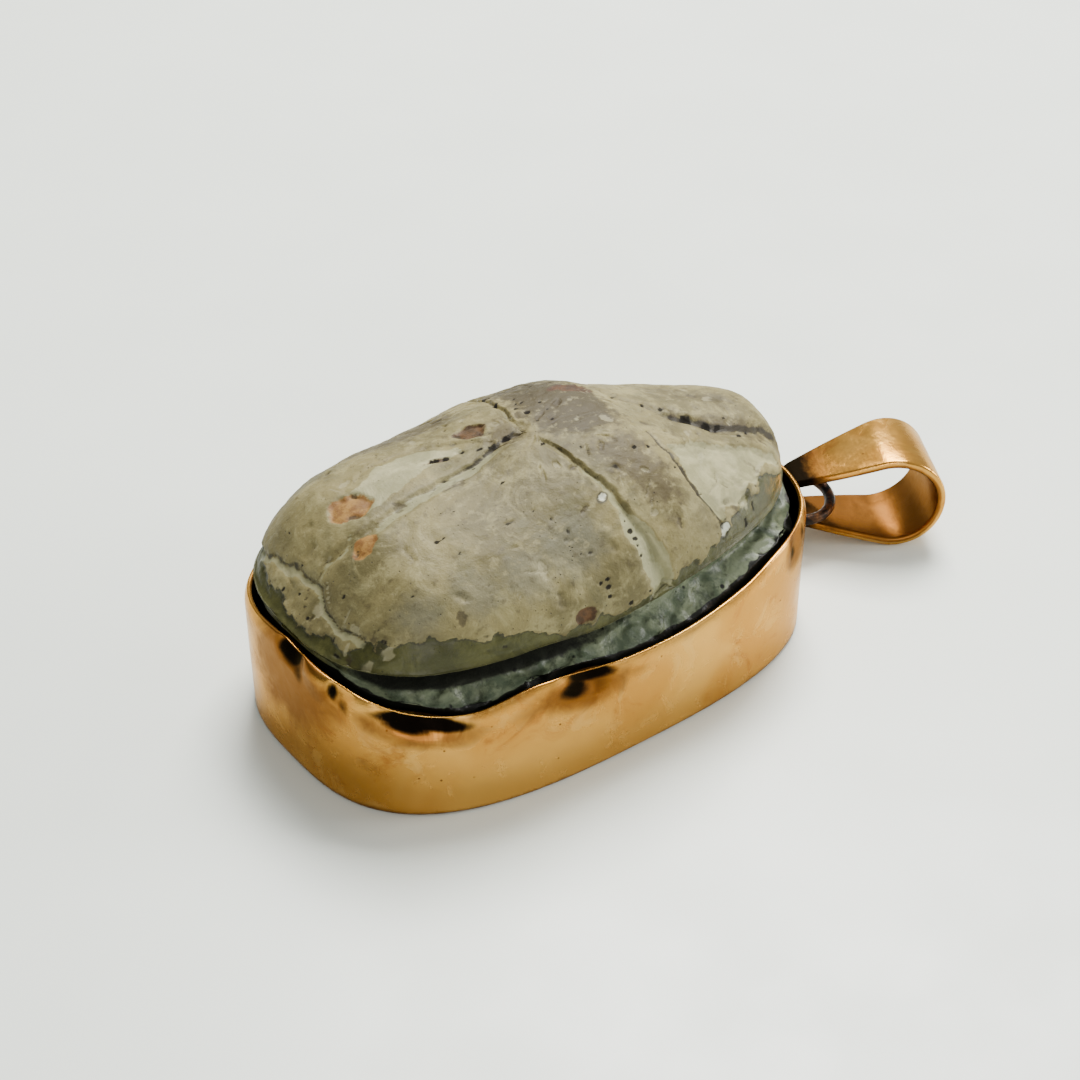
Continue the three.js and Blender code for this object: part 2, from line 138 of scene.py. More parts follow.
window_side, room_dark, room_bright = (0.72, -0.1, 0.69), 0.22, 0.98
room = bpy.data.worlds.new("room")
room.use_nodes = True
nodes, links = room.node_tree.nodes, room.node_tree.links
nodes["Background"].inputs["Color"].default_value = (0.86, 0.89, 0.88, 1)
direction = nodes.new("ShaderNodeTexCoord").outputs["Generated"]
to_window = nodes.new("ShaderNodeVectorMath")
to_window.operation = "DOT_PRODUCT"
to_window.inputs[1].default_value = window_side
room_light = nodes.new("ShaderNodeMapRange")
for socket, value in (("From Min", -0.7), ("From Max", 0.9), ("To Min", room_dark), ("To Max", room_bright)):
    room_light.inputs[socket].default_value = value
links.new(direction, to_window.inputs[0])
links.new(to_window.outputs["Value"], room_light.inputs["Value"])
links.new(room_light.outputs["Result"], nodes["Background"].inputs["Strength"])
bpy.context.scene.world = room

# %% [markdown]
# A smooth line through a few stations gives the wavy lip, the crest of the back and the carved routes. A
# spline object could do it, but a cubic with the slope of each station's neighbours is one formula that
# works on whole arrays, and it is the one that the solids use.

# %% Curves and ovals
def through(stations, place):
    """Value at a place on the smooth line through stations (place, value): between two stations, a cubic
    whose slope at each is that of the straight line between the station's two neighbours."""
    at, value = np.array(stations, float).T
    before, after = np.r_[0, np.arange(len(at) - 1)], np.r_[np.arange(1, len(at)), len(at) - 1]
    slope = (value[after] - value[before]) / (at[after] - at[before])
    i = np.clip(np.searchsorted(at, place, side="right") - 1, 0, len(at) - 2)
    span = at[i + 1] - at[i]
    t = np.clip((place - at[i]) / span, 0, 1)
    rise = t * t * (3 - 2 * t)
    bend = slope[i] * span * t * (1 - t) ** 2 - slope[i + 1] * span * t * t * (1 - t)
    return value[i] * (1 - rise) + value[i + 1] * rise + bend


def ease(low, high, value):
    """0 below low, 1 above high, and a smooth S between."""
    t = np.clip((value - low) / (high - low), 0, 1)
    return t * t * (3 - 2 * t)


band_oval = {"end": band_length / 2, "near": band_width / 2, "far": band_width / 2, **band_squareness}
rim_oval = {
    "end": band_length / 2 - rim_end_inset,
    "near": band_width / 2 - rim_near_inset,
    "far": band_width / 2 - rim_far_inset,
    **rim_squareness,
}


def oval_radius(oval, angle):
    """Distance from the middle to a superellipse whose quarters have their own exponent."""
    along, across = np.cos(angle), np.sin(angle)
    power = np.where(
        along > 0,
        np.where(across > 0, oval["head_far"], oval["head"]),
        np.where(across > 0, oval["tail_far"], oval["tail"]),
    )
    half = np.where(across > 0, oval["far"], oval["near"])
    return ((np.abs(along) / oval["end"]) ** power + (np.abs(across) / half) ** power) ** (-1 / power)


def wall_point(angle, inset, height):
    """A point of the band's oval moved in by the inset along the oval's own normal, at a height."""
    def at(a):
        return oval_radius(band_oval, a)[..., None] * np.stack([np.cos(a), np.sin(a)], -1)
    step = 1e-3
    along = at(angle + step) - at(angle - step)
    along /= np.linalg.norm(along, axis=-1, keepdims=True)
    place = at(angle) + np.stack([-along[..., 1], along[..., 0]], -1) * np.asarray(inset)[..., None]
    return np.concatenate([place, np.broadcast_to(height, angle.shape)[..., None]], -1)


print("rim of the back in mm:", 2 * rim_oval["end"], "by", rim_oval["near"] + rim_oval["far"])

# %% [markdown]
# Every piece is a grid of points: rows that each go once round, joined to the next row. A closed form either
# joins its last row to its first, as on a ring, or shuts its two ends with a point. The helper turns the
# grid into a mesh, checks by the enclosed volume that the faces look outwards, and smooths the shading.

# %% Grid to mesh
def make_piece(name, rows, looped=False, marks=None):
    """A mesh from rows of points in mm about the band's middle, shape (rows, points, 3). Marks are values
    for each point, which the materials read as attributes."""
    n_rows, n_points = rows.shape[:2]
    places = rows.reshape(-1, 3)
    joined_rows = np.arange(n_rows if looped else n_rows - 1)
    row, column = np.meshgrid(joined_rows, np.arange(n_points), indexing="ij")
    next_row, next_column = (row + 1) % n_rows, (column + 1) % n_points
    corners = np.stack(
        [row * n_points + column, row * n_points + next_column,
         next_row * n_points + next_column, next_row * n_points + column], -1
    ).reshape(-1, 4)
    marks = {key: np.asarray(value, float).reshape(-1) for key, value in (marks or {}).items()}
    caps = np.empty((0, 3), int)
    if not looped:
        first, last = np.arange(n_points), (n_rows - 1) * n_points + np.arange(n_points)
        ends = np.stack([places[first].mean(0), places[last].mean(0)])
        low, high = len(places), len(places) + 1
        caps = np.concatenate([
            np.stack([np.full(n_points, low), np.roll(first, -1), first], -1),
            np.stack([np.full(n_points, high), last, np.roll(last, -1)], -1),
        ])
        places = np.concatenate([places, ends])
        marks = {key: np.r_[v, v[first].mean(), v[last].mean()] for key, v in marks.items()}
    a, b, c, d = (places[corners[:, i]] for i in range(4))
    volume = (np.cross(a, b) * c).sum() / 6 + (np.cross(a, c) * d).sum() / 6
    volume += (np.cross(places[caps[:, 0]], places[caps[:, 1]]) * places[caps[:, 2]]).sum() / 6
    if volume < 0:
        corners, caps = corners[:, ::-1], caps[:, ::-1]
    mesh = bpy.data.meshes.new(name)
    mesh.from_pydata(((places + band_middle) * MM).tolist(), [], corners.tolist() + caps.tolist())
    for key, value in marks.items():
        mesh.attributes.new(key, "FLOAT", "POINT").data.foreach_set("value", value.astype(np.float32))
    mesh.polygons.foreach_set("use_smooth", np.ones(len(mesh.polygons), bool))
    mesh.update()
    piece = bpy.data.objects.new(name, mesh)
    bpy.context.scene.collection.objects.link(piece)
    print(f"{name}: {2 * len(corners) + len(caps)} triangles, {abs(volume):.1f} mm3")
    return piece


def dense(keys, counts):
    """Rows between key rows: counts[i] even steps from key i to the next."""
    return np.concatenate([
        keys[i] + (keys[i + 1] - keys[i]) * (np.arange(n) / n)[:, None, None] for i, n in enumerate(counts)
    ] + [keys[-1:]])


def rounded(rows, times):
    """Each row but the first and the last moved half way to the middle of its two neighbours, so often."""
    for _ in range(times):
        smooth = rows * 0.5 + (np.roll(rows, 1, 0) + np.roll(rows, -1, 0)) * 0.25
        smooth[0], smooth[-1] = rows[0], rows[-1]
        rows = smooth
    return rows


# %% [markdown]
# Worn stone is never smooth. A random number at each corner of a grid of cubes, blended in between, gives
# soft lumps of one size, and a few sizes laid over each other give a natural face. The numbers come from
# the cube's own place, so they are the same in every run.

# %% Lumps
def lumps(places, size, seed=0):
    """Smooth values from -1 to 1: numbers hashed from the corners of cubes of this size, and the S-shaped
    blend of the eight corners at each place."""
    scaled = np.asarray(places) / size
    cell = np.floor(scaled).astype(np.int64)
    part = scaled - cell
    part = part * part * (3 - 2 * part)
    total = np.zeros(scaled.shape[:-1])
    for corner in np.ndindex(2, 2, 2):
        key = cell + corner
        number = key[..., 0] * 73856093 ^ key[..., 1] * 19349663 ^ key[..., 2] * 83492791 ^ seed * 9781
        number = ((number ^ (number >> 13)) * 1274126177) & 0xFFFFFF
        weight = np.prod(np.where(corner, part, 1 - part), axis=-1)
        total += weight * (number / 0x7FFFFF - 1)
    return total


# %% [markdown]
# The gold band is a strip bent to the oval and soldered, with a narrow ledge inside that the stone sits on.
# Its top was rubbed over the stone and is wavy, and there are hollows where a tool pressed it in. A lattice
# could push them in, but each is a soft dent with a known place, so it is part of the profile's formula.

# %% The lip and its hollows
lip_heights = [
    (-180, 5.0), (-165, 4.7), (-150, 4.1), (-139, 3.9), (-124, 4.3), (-99, 3.9), (-76, 3.85), (-54, 4.25),
    (-42, 4.65), (-18, 4.8), (0, 4.75), (28, 4.6), (58, 4.15), (90, 3.9), (122, 4.15), (152, 4.5), (180, 5.0),
]
# Each hollow: its angle, the angle that it spans either side, its depth, how far it reaches below the lip.
pinches = [
    (-149, 9.5, 0.42, 0.95), (-110, 11, 0.38, 1.0), (-178, 5, 0.35, 0.9), (-170, 4, -0.1, 1.2),
    (-17, 4, 0.22, 2.6), (118, 9, 0.25, 0.9),
    (-164, 3.5, 0.14, 0.8), (-21.5, 1.6, 0.1, 2.2), (-12.5, 1.6, 0.1, 2.0), (-35, 4, 0.16, 1.5),
]


def lip_at(angle):
    """Height of the gold's lip on the smooth line through its stations."""
    return through(lip_heights, np.degrees(angle))


def pinch_at(angle, below):
    """How far the hollows push the wall in: a rounded hill over the angle times one over the depth."""
    inset = np.zeros(np.broadcast(angle, below).shape)
    for middle, spread, depth, reach in pinches:
        away = np.abs((np.degrees(angle) - middle + 540) % 360 - 180)
        hill = np.cos(np.minimum(away / spread, 1) * math.pi / 2) ** 1.5
        down = np.clip(below / reach, 0, 1)
        inset += depth * hill * np.sin(math.pi * np.sqrt(down)) ** 1.2
    return inset


# %% [markdown]
# The wall is thin sheet. Its section goes up the outside, over the lip, down the inside and along the ledge,
# and is carried round the oval in small steps. Light hammer marks keep it from looking turned.

# %% The band
around = np.linspace(-math.pi, math.pi, 640, endpoint=False)
foot_steps, wall_steps, inner_steps = 9, 46, 12
# The rows that are seen from outside: the foot's first row and its steps but the last, which is the wall's
# first, then the wall's own and the first over the lip.
outside_rows = foot_steps + wall_steps + 1


def band_rows():
    """The wall's section carried round the oval: up the outside, over the thin lip, down the inside and
    along the ledge. Distances on the outside are measured down from the lip, so its hollows follow it.
    Returns the rows and how much each may be hammered."""
    lip, level = lip_at(around), np.ones_like(around)
    keys, play = [], []
    def add(inset, height, share=0):
        keys.append(wall_point(around, inset * level, height))
        play.append(share)
    add(bottom_round + draw_in, 0)
    for height in np.linspace(bottom_round, plain_height, foot_steps)[:-1]:
        add(draw_in, height, 1)
    for share in np.linspace(1, 0, wall_steps):
        below = (lip - plain_height) * share * (0.35 + 0.65 * share) + 0.03 * (1 - share)
        lean = lip_lean * (1 - np.minimum(below / 0.5, 1)) ** 2
        add(draw_in + lean + pinch_at(around, below), lip - below, 0.3 + 0.7 * share)
    for inward, below in [(0.045, 0.0), (0.11, 0.0), (lip_wall, 0.04)]:
        add(lip_lean + inward, lip - below - 0.005)
    for below in np.linspace(0.1, 2.2, inner_steps):
        add(np.maximum(wall, pinch_at(around, below * level) + lip_wall), lip - below)
    for inset, height in [(wall, ledge_height), (wall + ledge_width, ledge_height), (wall + ledge_width, 0)]:
        add(inset, height)
    return np.array(keys), np.array(play)


rows, play = band_rows()
outward = rows * [1, 1, 0]
outward /= np.linalg.norm(outward, axis=-1, keepdims=True)
hammered = 0.028 * (1 + lumps(rows, 3.4, 5)) + 0.01 * (1 + lumps(rows, 1.3, 6))
rows = rows - outward * (hammered * play[:, None])[..., None]
print("wall rows:", len(rows), "deepest hammering", round(float(hammered.max()), 3), "mm")

# %% [markdown]
# Near-black spots and copper-brown film sit in and round the hollows, and at a folded pleat near the bail.
# They are soft spots on the wall: each has an angle, a distance below the lip, two half sizes in mm and a
# strength. Inside the wall and at its foot the marks are painted shade.

# %% Dark spots, film and painted shade on the band
black_spots = [
    (-148.5, 0.36, 1.9, 0.36, 1.3), (-151, 0.55, 1.1, 0.3, 1.0), (-109, 0.26, 1.15, 0.36, 1.2),
    (-114.5, 0.62, 0.75, 0.42, 0.9),
    (-178.6, 0.38, 0.75, 0.5, 1.3), (-175.5, 0.75, 0.4, 0.5, 0.6), (-165.8, 0.35, 0.26, 0.45, 1.0),
    (-163.0, 0.7, 0.35, 0.5, 0.6), (-19.6, 0.7, 0.16, 1.0, 0.9), (-14.2, 0.6, 0.16, 0.9, 0.9),
    (-17.0, 1.75, 0.34, 0.18, 0.8), (118, 0.3, 1.0, 0.35, 0.9), (-36, 0.78, 0.36, 0.3, 0.85),
    (-31.5, 0.4, 0.16, 0.5, 0.7),
]
copper_spots = [
    (-150, 0.7, 2.9, 0.75, 0.75), (-112, 0.7, 2.3, 0.95, 0.9), (-122, 0.9, 1.6, 0.7, 0.5),
    (-172, 0.9, 2.3, 1.2, 0.9), (-179, 1.2, 3.0, 2.6, 1.1),
    (-17, 0.9, 0.6, 1.2, 0.85), (-24, 2.2, 0.8, 0.5, 0.5), (-100, 0.5, 1.6, 0.5, 0.5),
    (-158, 2.6, 0.9, 0.5, 0.4),
    (118, 0.7, 1.8, 0.8, 0.7), (20, 0.6, 1.4, 0.6, 0.6), (165, 0.8, 1.2, 0.8, 0.5),
    (-35, 0.6, 1.0, 1.0, 1.1),
]


def spots_on_wall(spots, angle, below):
    """The strongest spot at each point: strength * (1 - (sideways / half size)^2 - (down / half size)^2)."""
    mark = np.zeros_like(below)
    for middle, down, half_side, half_down, strength in spots:
        away = (np.degrees(angle) - middle + 540) % 360 - 180
        sideways = np.radians(away) * oval_radius(band_oval, math.radians(middle) + 0 * angle)
        spot = 1 - (sideways / half_side) ** 2 - ((below - down) / half_down) ** 2
        mark = np.maximum(mark, strength * np.clip(spot, 0, 1))
    return mark


wall_angle = np.broadcast_to(around, rows.shape[:2])
below_lip = lip_at(wall_angle) - rows[..., 2]
outside = (np.arange(len(rows)) < outside_rows)[:, None]
bright_edge = ease(0.03, 0.1, below_lip)
height = rows[..., 2]
# Inside the wall, below the lip, the gold is painted near black and brown, more so higher up: painted shade
# in the gap between the gold and the stone.
inside_shade = ease(0.04, 0.12, below_lip) * ease(0.8, 1.8, height)
dirt_and_shade = np.where(outside, spots_on_wall(black_spots, wall_angle, below_lip) * bright_edge, inside_shade)
inside_brown_shade = 0.6 * ease(0.1, 0.6, height)
copper_and_shade = np.where(outside, spots_on_wall(copper_spots, wall_angle, below_lip), inside_brown_shade)
copper_and_shade = np.maximum(copper_and_shade, 0.35 * ease(0.5, 0.05, below_lip) * bright_edge)
# A copper-brown line round the outside of the foot: painted contact shadow where the band meets the board.
copper_and_shade = np.maximum(copper_and_shade, 0.95 * ease(0.2, 0.04, height) * outside)
band = make_piece("gold_band", rows, looped=True, marks={"dirt_and_shade": dirt_and_shade, "copper_and_shade": copper_and_shade})

# %% [markdown]
# The eye is a small loop of wire soldered upright on the head end. A jump ring goes through it, and the bail
# hangs on the ring. Both are rings of round wire, so one function makes both. The ring's wire isn't quite
# even, as on a ring that has been opened and closed with pliers.

# %% Wire rings
def wire_ring(radius, wire, steps, sides, unevenness, seed):
    """A circle of wire in the XY plane: a small circle carried round a large one. Its thickness drops by up
    to the unevenness, in lumps of 0.7 mm."""
    large, small = np.meshgrid(
        np.linspace(0, 2 * math.pi, steps, endpoint=False),
        np.linspace(0, 2 * math.pi, sides, endpoint=False), indexing="ij",
    )
    middle = np.stack([np.cos(large), np.sin(large), 0 * large], -1) * radius
    thick = wire / 2 * (1 - unevenness * (0.5 + 0.5 * lumps(middle, 0.7, seed)))
    reach = radius + thick * np.cos(small)
    return np.stack([reach * np.cos(large), reach * np.sin(large), thick * np.sin(small)], -1)


eye_radius, ring_radius = (eye_hole + eye_wire) / 2, (ring_hole + ring_wire) / 2
eye_middle = np.array([band_length / 2 + eye_hole / 2 + eye_wire - eye_sink, eye_side, eye_height])
eye_rows = wire_ring(eye_radius, eye_wire - draw_in, 72, 20, 0.08, 3)[..., [0, 2, 1]] + eye_middle
eye = make_piece(
    "soldered_eye", eye_rows, looped=True,
    marks={"dirt_and_shade": np.full(eye_rows.shape[:2], 0.2), "copper_and_shade": np.full(eye_rows.shape[:2], 0.5)},
)

pull = math.radians(ring_turn)
ring_middle = eye_middle + ring_radius * np.array([math.cos(pull), math.sin(pull), 0])
turn_ring = np.array(
    Matrix.Rotation(pull, 3, "Z") @ Matrix.Rotation(math.radians(ring_tilt), 3, "X")
)
ring_rows = wire_ring(ring_radius, ring_wire, 140, 24, 0.1, 4) @ turn_ring.T + ring_middle
ring = make_piece("wire_ring", ring_rows, looped=True)

# %% [markdown]
# The bail is one strap of gold sheet, narrow at the ring and wide where the chain goes, bent into a closed
# loop. It lies on its wide bend. Seen from the side it is the outline round two circles. It could be a curve
# with a bevel, but a strap that changes its width is simpler as a section carried round that outline.

# %% The bail
edge_radius, corner_steps = 0.11, 6


def bail_outline(inset, steps):
    """Side view: an arc round the wide bend and an arc round the narrow one, joined by straight runs."""
    narrow, wide = bail_narrow_height / 2, bail_wide_height / 2
    narrow_at = np.array([narrow - bail_in_ring, eye_height])
    wide_at = np.array([bail_length - bail_in_ring - wide, wide])
    along, up = wide_at - narrow_at
    lean, open_angle = math.atan2(up, along), math.acos((narrow - wide) / math.hypot(along, up))
    def arc(middle, radius, start, stop, count):
        a = np.linspace(start, stop, count)
        return middle + (radius - inset) * np.stack([np.cos(a), np.sin(a)], -1)
    wide_arc = arc(wide_at, wide, lean - open_angle, lean + open_angle, steps)
    narrow_arc = arc(narrow_at, narrow, lean + open_angle, lean + 2 * math.pi - open_angle, steps // 2)
    share = np.linspace(0, 1, steps // 2)[1:-1, None]
    upper = wide_arc[-1] + (narrow_arc[0] - wide_arc[-1]) * share
    lower = narrow_arc[-1] + (wide_arc[0] - narrow_arc[-1]) * share
    return np.concatenate([wide_arc, upper, narrow_arc, lower])


def bail_rows():
    """The strap's section at each point of the outline: a flat bar with rounded edges. The width follows a
    quarter of a sine from the narrow end to the wide one."""
    outer, inner = bail_outline(bail_draw_in, 90), bail_outline(bail_wall, 90)
    share = np.clip((outer[:, 0] + bail_in_ring) / bail_length, 0, 1)
    half = (bail_narrow_width + (bail_wide_width - bail_narrow_width) * np.sin(share * math.pi / 2)) / 2
    corner = np.linspace(0, math.pi / 2, corner_steps)
    opening, closing = edge_radius * (1 - np.cos(corner)), edge_radius * (1 - np.sin(corner))
    side = np.repeat([-1, 1, 1, -1], corner_steps)
    edge = np.r_[opening, closing, opening, closing]
    deep = np.r_[1 - closing / bail_wall, 1 - opening / bail_wall, closing / bail_wall, opening / bail_wall]
    across = side * (half[:, None] - edge)
    place = outer[:, None] + (inner - outer)[:, None] * deep[None, :, None]
    return np.stack([place[..., 0], across, place[..., 1]], -1)


strap = bail_rows()
lie = np.array(Matrix.Rotation(math.radians(bail_turn), 3, "Z"))
bail_place = ring_middle + lie @ [0, bail_beside, 0]
bail_place[2] = 0
from_ring = strap[..., 0] + bail_in_ring
# The section's first two corners are the ones on the inside of the loop.
facing_in = (np.arange(strap.shape[1]) < 2 * corner_steps)[None, :]
low_in_loop = ease(2.4, 0.6, strap[..., 2])
# Near the ring the strap is painted dark with dirt and painted shade over copper-brown film; on the inside of
# the loop it is painted brown as shade, darker towards the bottom.
bail = make_piece(
    "folded_bail", strap @ lie.T + bail_place, looped=True,
    marks={
        "dirt_and_shade": np.maximum(ease(2.2, 0.7, from_ring), 0.42 * facing_in * ease(5.5, 1.5, from_ring)),
        "copper_and_shade": np.maximum(0.7 * ease(3.0, 1.0, from_ring), (0.86 + 0.2 * low_in_loop) * facing_in),
    },
)

# %% [markdown]
# The beetle is carved from one pebble of soft steatite. The back is a low dome over an oval rim: a crest line
# gives its height from tail to head, and it falls to the rim as an ellipse does. Below the rim a slot was cut
# for the legs, and the base goes down into the band. Sculpting it would lose the link to the solid.

# %% The stone's plain form
seat_height = ledge_height + seat_gap
rim_height = max(height for _, height in lip_heights) + rim_gap
base_inset = wall + stone_gap
crest = [(-1, 0.18), (-0.8, 0.81), (-0.54, 0.86), (-0.27, 0.84), (-0.02, 0.96), (0.1, 0.97), (0.28, 0.95),
         (0.5, 0.74), (0.78, 0.72), (1, 1)]
rim_wave = [(-180, 0.0), (-150, 0.0), (-125, 0.05), (-108, -0.14), (-85, 0.0), (-50, 0.25), (-20, 0.05),
            (20, 0.1), (60, 0.0), (100, 0.08), (140, 0.0), (180, 0.0)]


def rim_at(angle):
    """Height of the rim: its plain height and the wave at that angle."""
    return rim_height + through(rim_wave, np.degrees(angle))


def back_at(x, y):
    """Height of the back: rim + (crest - rim) * (1 - share ^ flatness) ^ (1 / roundness), where share is
    how far out the point lies between the middle and the rim."""
    angle = np.arctan2(y, x - rim_forward)
    share = np.hypot(x - rim_forward, y) / oval_radius(rim_oval, angle)
    top = rim_height + back_height * through(crest, (x - rim_forward) / rim_oval["end"])
    end = np.where(np.cos(angle) > 0, back_flatness["head"], back_flatness["tail"])
    flatness = back_flatness["side"] + (end - back_flatness["side"]) * np.cos(angle) ** 2
    rim = rim_at(angle)
    return rim + (top - rim) * np.clip(1 - share**flatness, 0, None) ** (1 / back_roundness)


# On the side of the pressed hollows the slot is choked with old glaze, all but its tail end.
open_slot = [(-180, 1), (-118, 1), (-88, 0.5), (-15, 0.4), (20, 1), (180, 1)]


def slot_share(angle):
    """How open the slot is cut: nothing within 8 degrees of either end, all of it from 26 degrees."""
    from_end = np.minimum(np.abs(angle), math.pi - np.abs(angle))
    return ease(math.radians(8), math.radians(26), from_end)


stone_around = np.linspace(-math.pi, math.pi, 460, endpoint=False)


def stone_keys():
    """Key rows from the middle of the underside out to the base's edge, up to the slot and out to the rim."""
    angle = stone_around
    lip, rim, slot = lip_at(angle), rim_at(angle), slot_share(angle)
    drop = 0.12 + slot_height * slot
    deep = 0.1 + slot_depth * slot * through(open_slot, np.degrees(angle))
    pressed = np.clip(pinch_at(angle, np.full_like(angle, 0.3)), 0, None)
    def rim_row(inset, down):
        radius = oval_radius(rim_oval, angle) - inset
        return np.stack([rim_forward + radius * np.cos(angle), radius * np.sin(angle), rim - down], -1)
    shoulder = np.minimum(lip + 0.05, rim - drop - 0.12)
    underside_edge = wall_point(angle, np.full_like(angle, base_inset + base_bevel), seat_height)
    near_middle = underside_edge * [0.03, 0.03, 1]
    keys = [
        near_middle,
        underside_edge,
        wall_point(angle, np.full_like(angle, base_inset), seat_height + base_bevel),
        wall_point(angle, base_inset + pressed, lip - 1.3),
        wall_point(angle, base_inset + pressed, lip - 0.45),
        wall_point(angle, np.full_like(angle, base_inset + 0.08), shoulder),
        rim_row(0.05 + 0.4 * slot, drop),
        rim_row(deep, drop * 0.8),
        rim_row(0.4 * deep, drop * 0.25),
        rim_row(0 * angle + draw_in, 0 * angle),
    ]
    return np.array(keys)


underside_steps, back_steps = 26, 136
lower = rounded(dense(stone_keys(), [underside_steps, 3, 3, 3, 5, 13, 9, 9, 7]), 2)
back = []
for step in range(1, back_steps):
    radius = math.cos(step / back_steps * math.pi / 2) ** 0.8 * oval_radius(rim_oval, stone_around)
    x, y = rim_forward + radius * np.cos(stone_around), radius * np.sin(stone_around)
    back.append(np.stack([x, y, back_at(x, y)], -1))
stone_rows = np.concatenate([lower, np.array(back)])
first_back = len(lower)
print("stone grid:", stone_rows.shape)

# %% [markdown]
# The carved lines, chips and pits are cut into that form. Each is a field: a number at every point that says
# how deep inside the line or the chip the point lies. The same field lowers the surface and, kept as an
# attribute, tells the material where to change colour, so carving and colour can't drift apart.

# %% Fields on the back
route_points = 60


def route_field(x, y, knots):
    """Distance from a smooth route through the knots (mm from the band's middle), positive on its left, and
    how far along the route the nearest point lies, 0 to 1."""
    knots = np.array(knots, float)
    order = np.arange(len(knots))
    fine = np.linspace(0, len(knots) - 1, route_points)
    line = np.stack([through(np.stack([order, knots[:, i]], -1), fine) for i in (0, 1)], -1)
    start, run = line[:-1], np.diff(line, axis=0)
    best = np.full(x.shape, 1e9)
    side, progress = np.zeros(x.shape), np.zeros(x.shape)
    for i in range(len(run)):
        dx, dy = x - start[i, 0], y - start[i, 1]
        t = np.clip((dx * run[i, 0] + dy * run[i, 1]) / (run[i] ** 2).sum(), 0, 1)
        gap = np.hypot(dx - t * run[i, 0], dy - t * run[i, 1])
        nearer = gap < best
        best = np.where(nearer, gap, best)
        side = np.where(nearer, np.sign(run[i, 0] * dy - run[i, 1] * dx), side)
        progress = np.where(nearer, (i + t) / len(run), progress)
    return best * side, progress


def patch_field(x, y, corners):
    """Distance in mm from the outline of a patch, positive inside it: a point is inside where a line from
    it crosses the outline an odd number of times."""
    corners = np.array(corners, float)
    best, inside = np.full(x.shape, 1e9), np.zeros(x.shape, bool)
    for (ax, ay), (bx, by) in zip(corners, np.roll(corners, -1, 0)):
        dx, dy = x - ax, y - ay
        t = np.clip((dx * (bx - ax) + dy * (by - ay)) / ((bx - ax) ** 2 + (by - ay) ** 2), 0, 1)
        best = np.minimum(best, np.hypot(dx - t * (bx - ax), dy - t * (by - ay)))
        if ay != by:
            inside ^= ((ay > y) != (by > y)) & (dx < (bx - ax) * dy / (by - ay))
    return np.where(inside, best, -best)


def turned(dx, dy, degrees):
    """The two steps of a place along and across a direction that is turned by the degrees."""
    c, s = math.cos(math.radians(degrees)), math.sin(math.radians(degrees))
    return dx * c + dy * s, dy * c - dx * s


def spot_field(x, y, at, size, turn):
    """Roughly the distance in mm from the edge of an oval spot, positive inside it. The height counts as
    well as the two sides, so that a spot stays small where the back is steep."""
    along, across = turned(x - at[0], y - at[1], turn)
    up = z - back_at(np.array(at[0]), np.array(at[1]))
    half = min(size) / 2
    out = np.sqrt((along / (size[0] / 2)) ** 2 + (across / (size[1] / 2)) ** 2 + (up / half) ** 2)
    return (1 - out) * half


x, y, z = np.moveaxis(stone_rows, -1, 0)
is_back = (np.arange(len(stone_rows)) >= first_back - 1)[:, None] * np.ones_like(x)
coarse, ragged_small = lumps(stone_rows, 0.8, 11), lumps(stone_rows, 0.3, 12)
# Outlines are followed at a place that wanders a little, so no line or edge on the stone is ruled straight.
wander_x = x + 0.1 * lumps(stone_rows, 0.5, 21) + 0.05 * lumps(stone_rows, 0.22, 23)
wander_y = y + 0.1 * lumps(stone_rows, 0.5, 22) + 0.05 * lumps(stone_rows, 0.22, 24)
print("points on the back:", int(is_back.sum()))

# %% [markdown]
# The carver's lines show the beetle's parts: one between the wing cases, one across behind the neck, one for
# the head and a short one at the tail. Wear has made them uneven. One wall of a line is steep, and painted
# shade darkens the floor on that side; the other is a slope that is rubbed pale, so the section isn't a V: it
# has its own width on each side.

# %% Carved lines
carved, pale_mark, dark_mark = np.zeros_like(x), np.zeros_like(x), np.zeros_like(x)


def cut_line(knots, left, right, depth, pale=0.0, dark=0.0, ends=(0.05, 0.05)):
    """A groove along a route. On either side of its floor it rises over that side's width, along a curve
    that is steep at the floor. The depth fades in over a share of the length at the ends. A width, the
    depth and the marks are numbers, or functions of how far along the route a point lies."""
    gap, progress = route_field(wander_x, wander_y, knots)
    left, right, depth, pale, dark = (
        value(progress) if callable(value) else value for value in (left, right, depth, pale, dark)
    )
    inside = np.clip(np.where(gap > 0, 1 - gap / left, 1 + gap / right), 0, 1)
    fade = ease(0, ends[0], progress) * ease(0, ends[1], 1 - progress) * is_back
    uneven = 0.75 + 0.25 * coarse
    np.maximum(carved, depth * uneven * fade * inside**0.8, out=carved)
    slope = np.where(gap < 0, ease(0.05, 0.35, inside), 0)
    np.maximum(pale_mark, pale * slope * fade, out=pale_mark)
    # Painted shade along the floor on the steep side of the line.
    floor_shade = np.exp(-(((gap - left * 0.3) / (0.3 * left + 0.03)) ** 2))
    np.maximum(dark_mark, dark * floor_shade * fade, out=dark_mark)


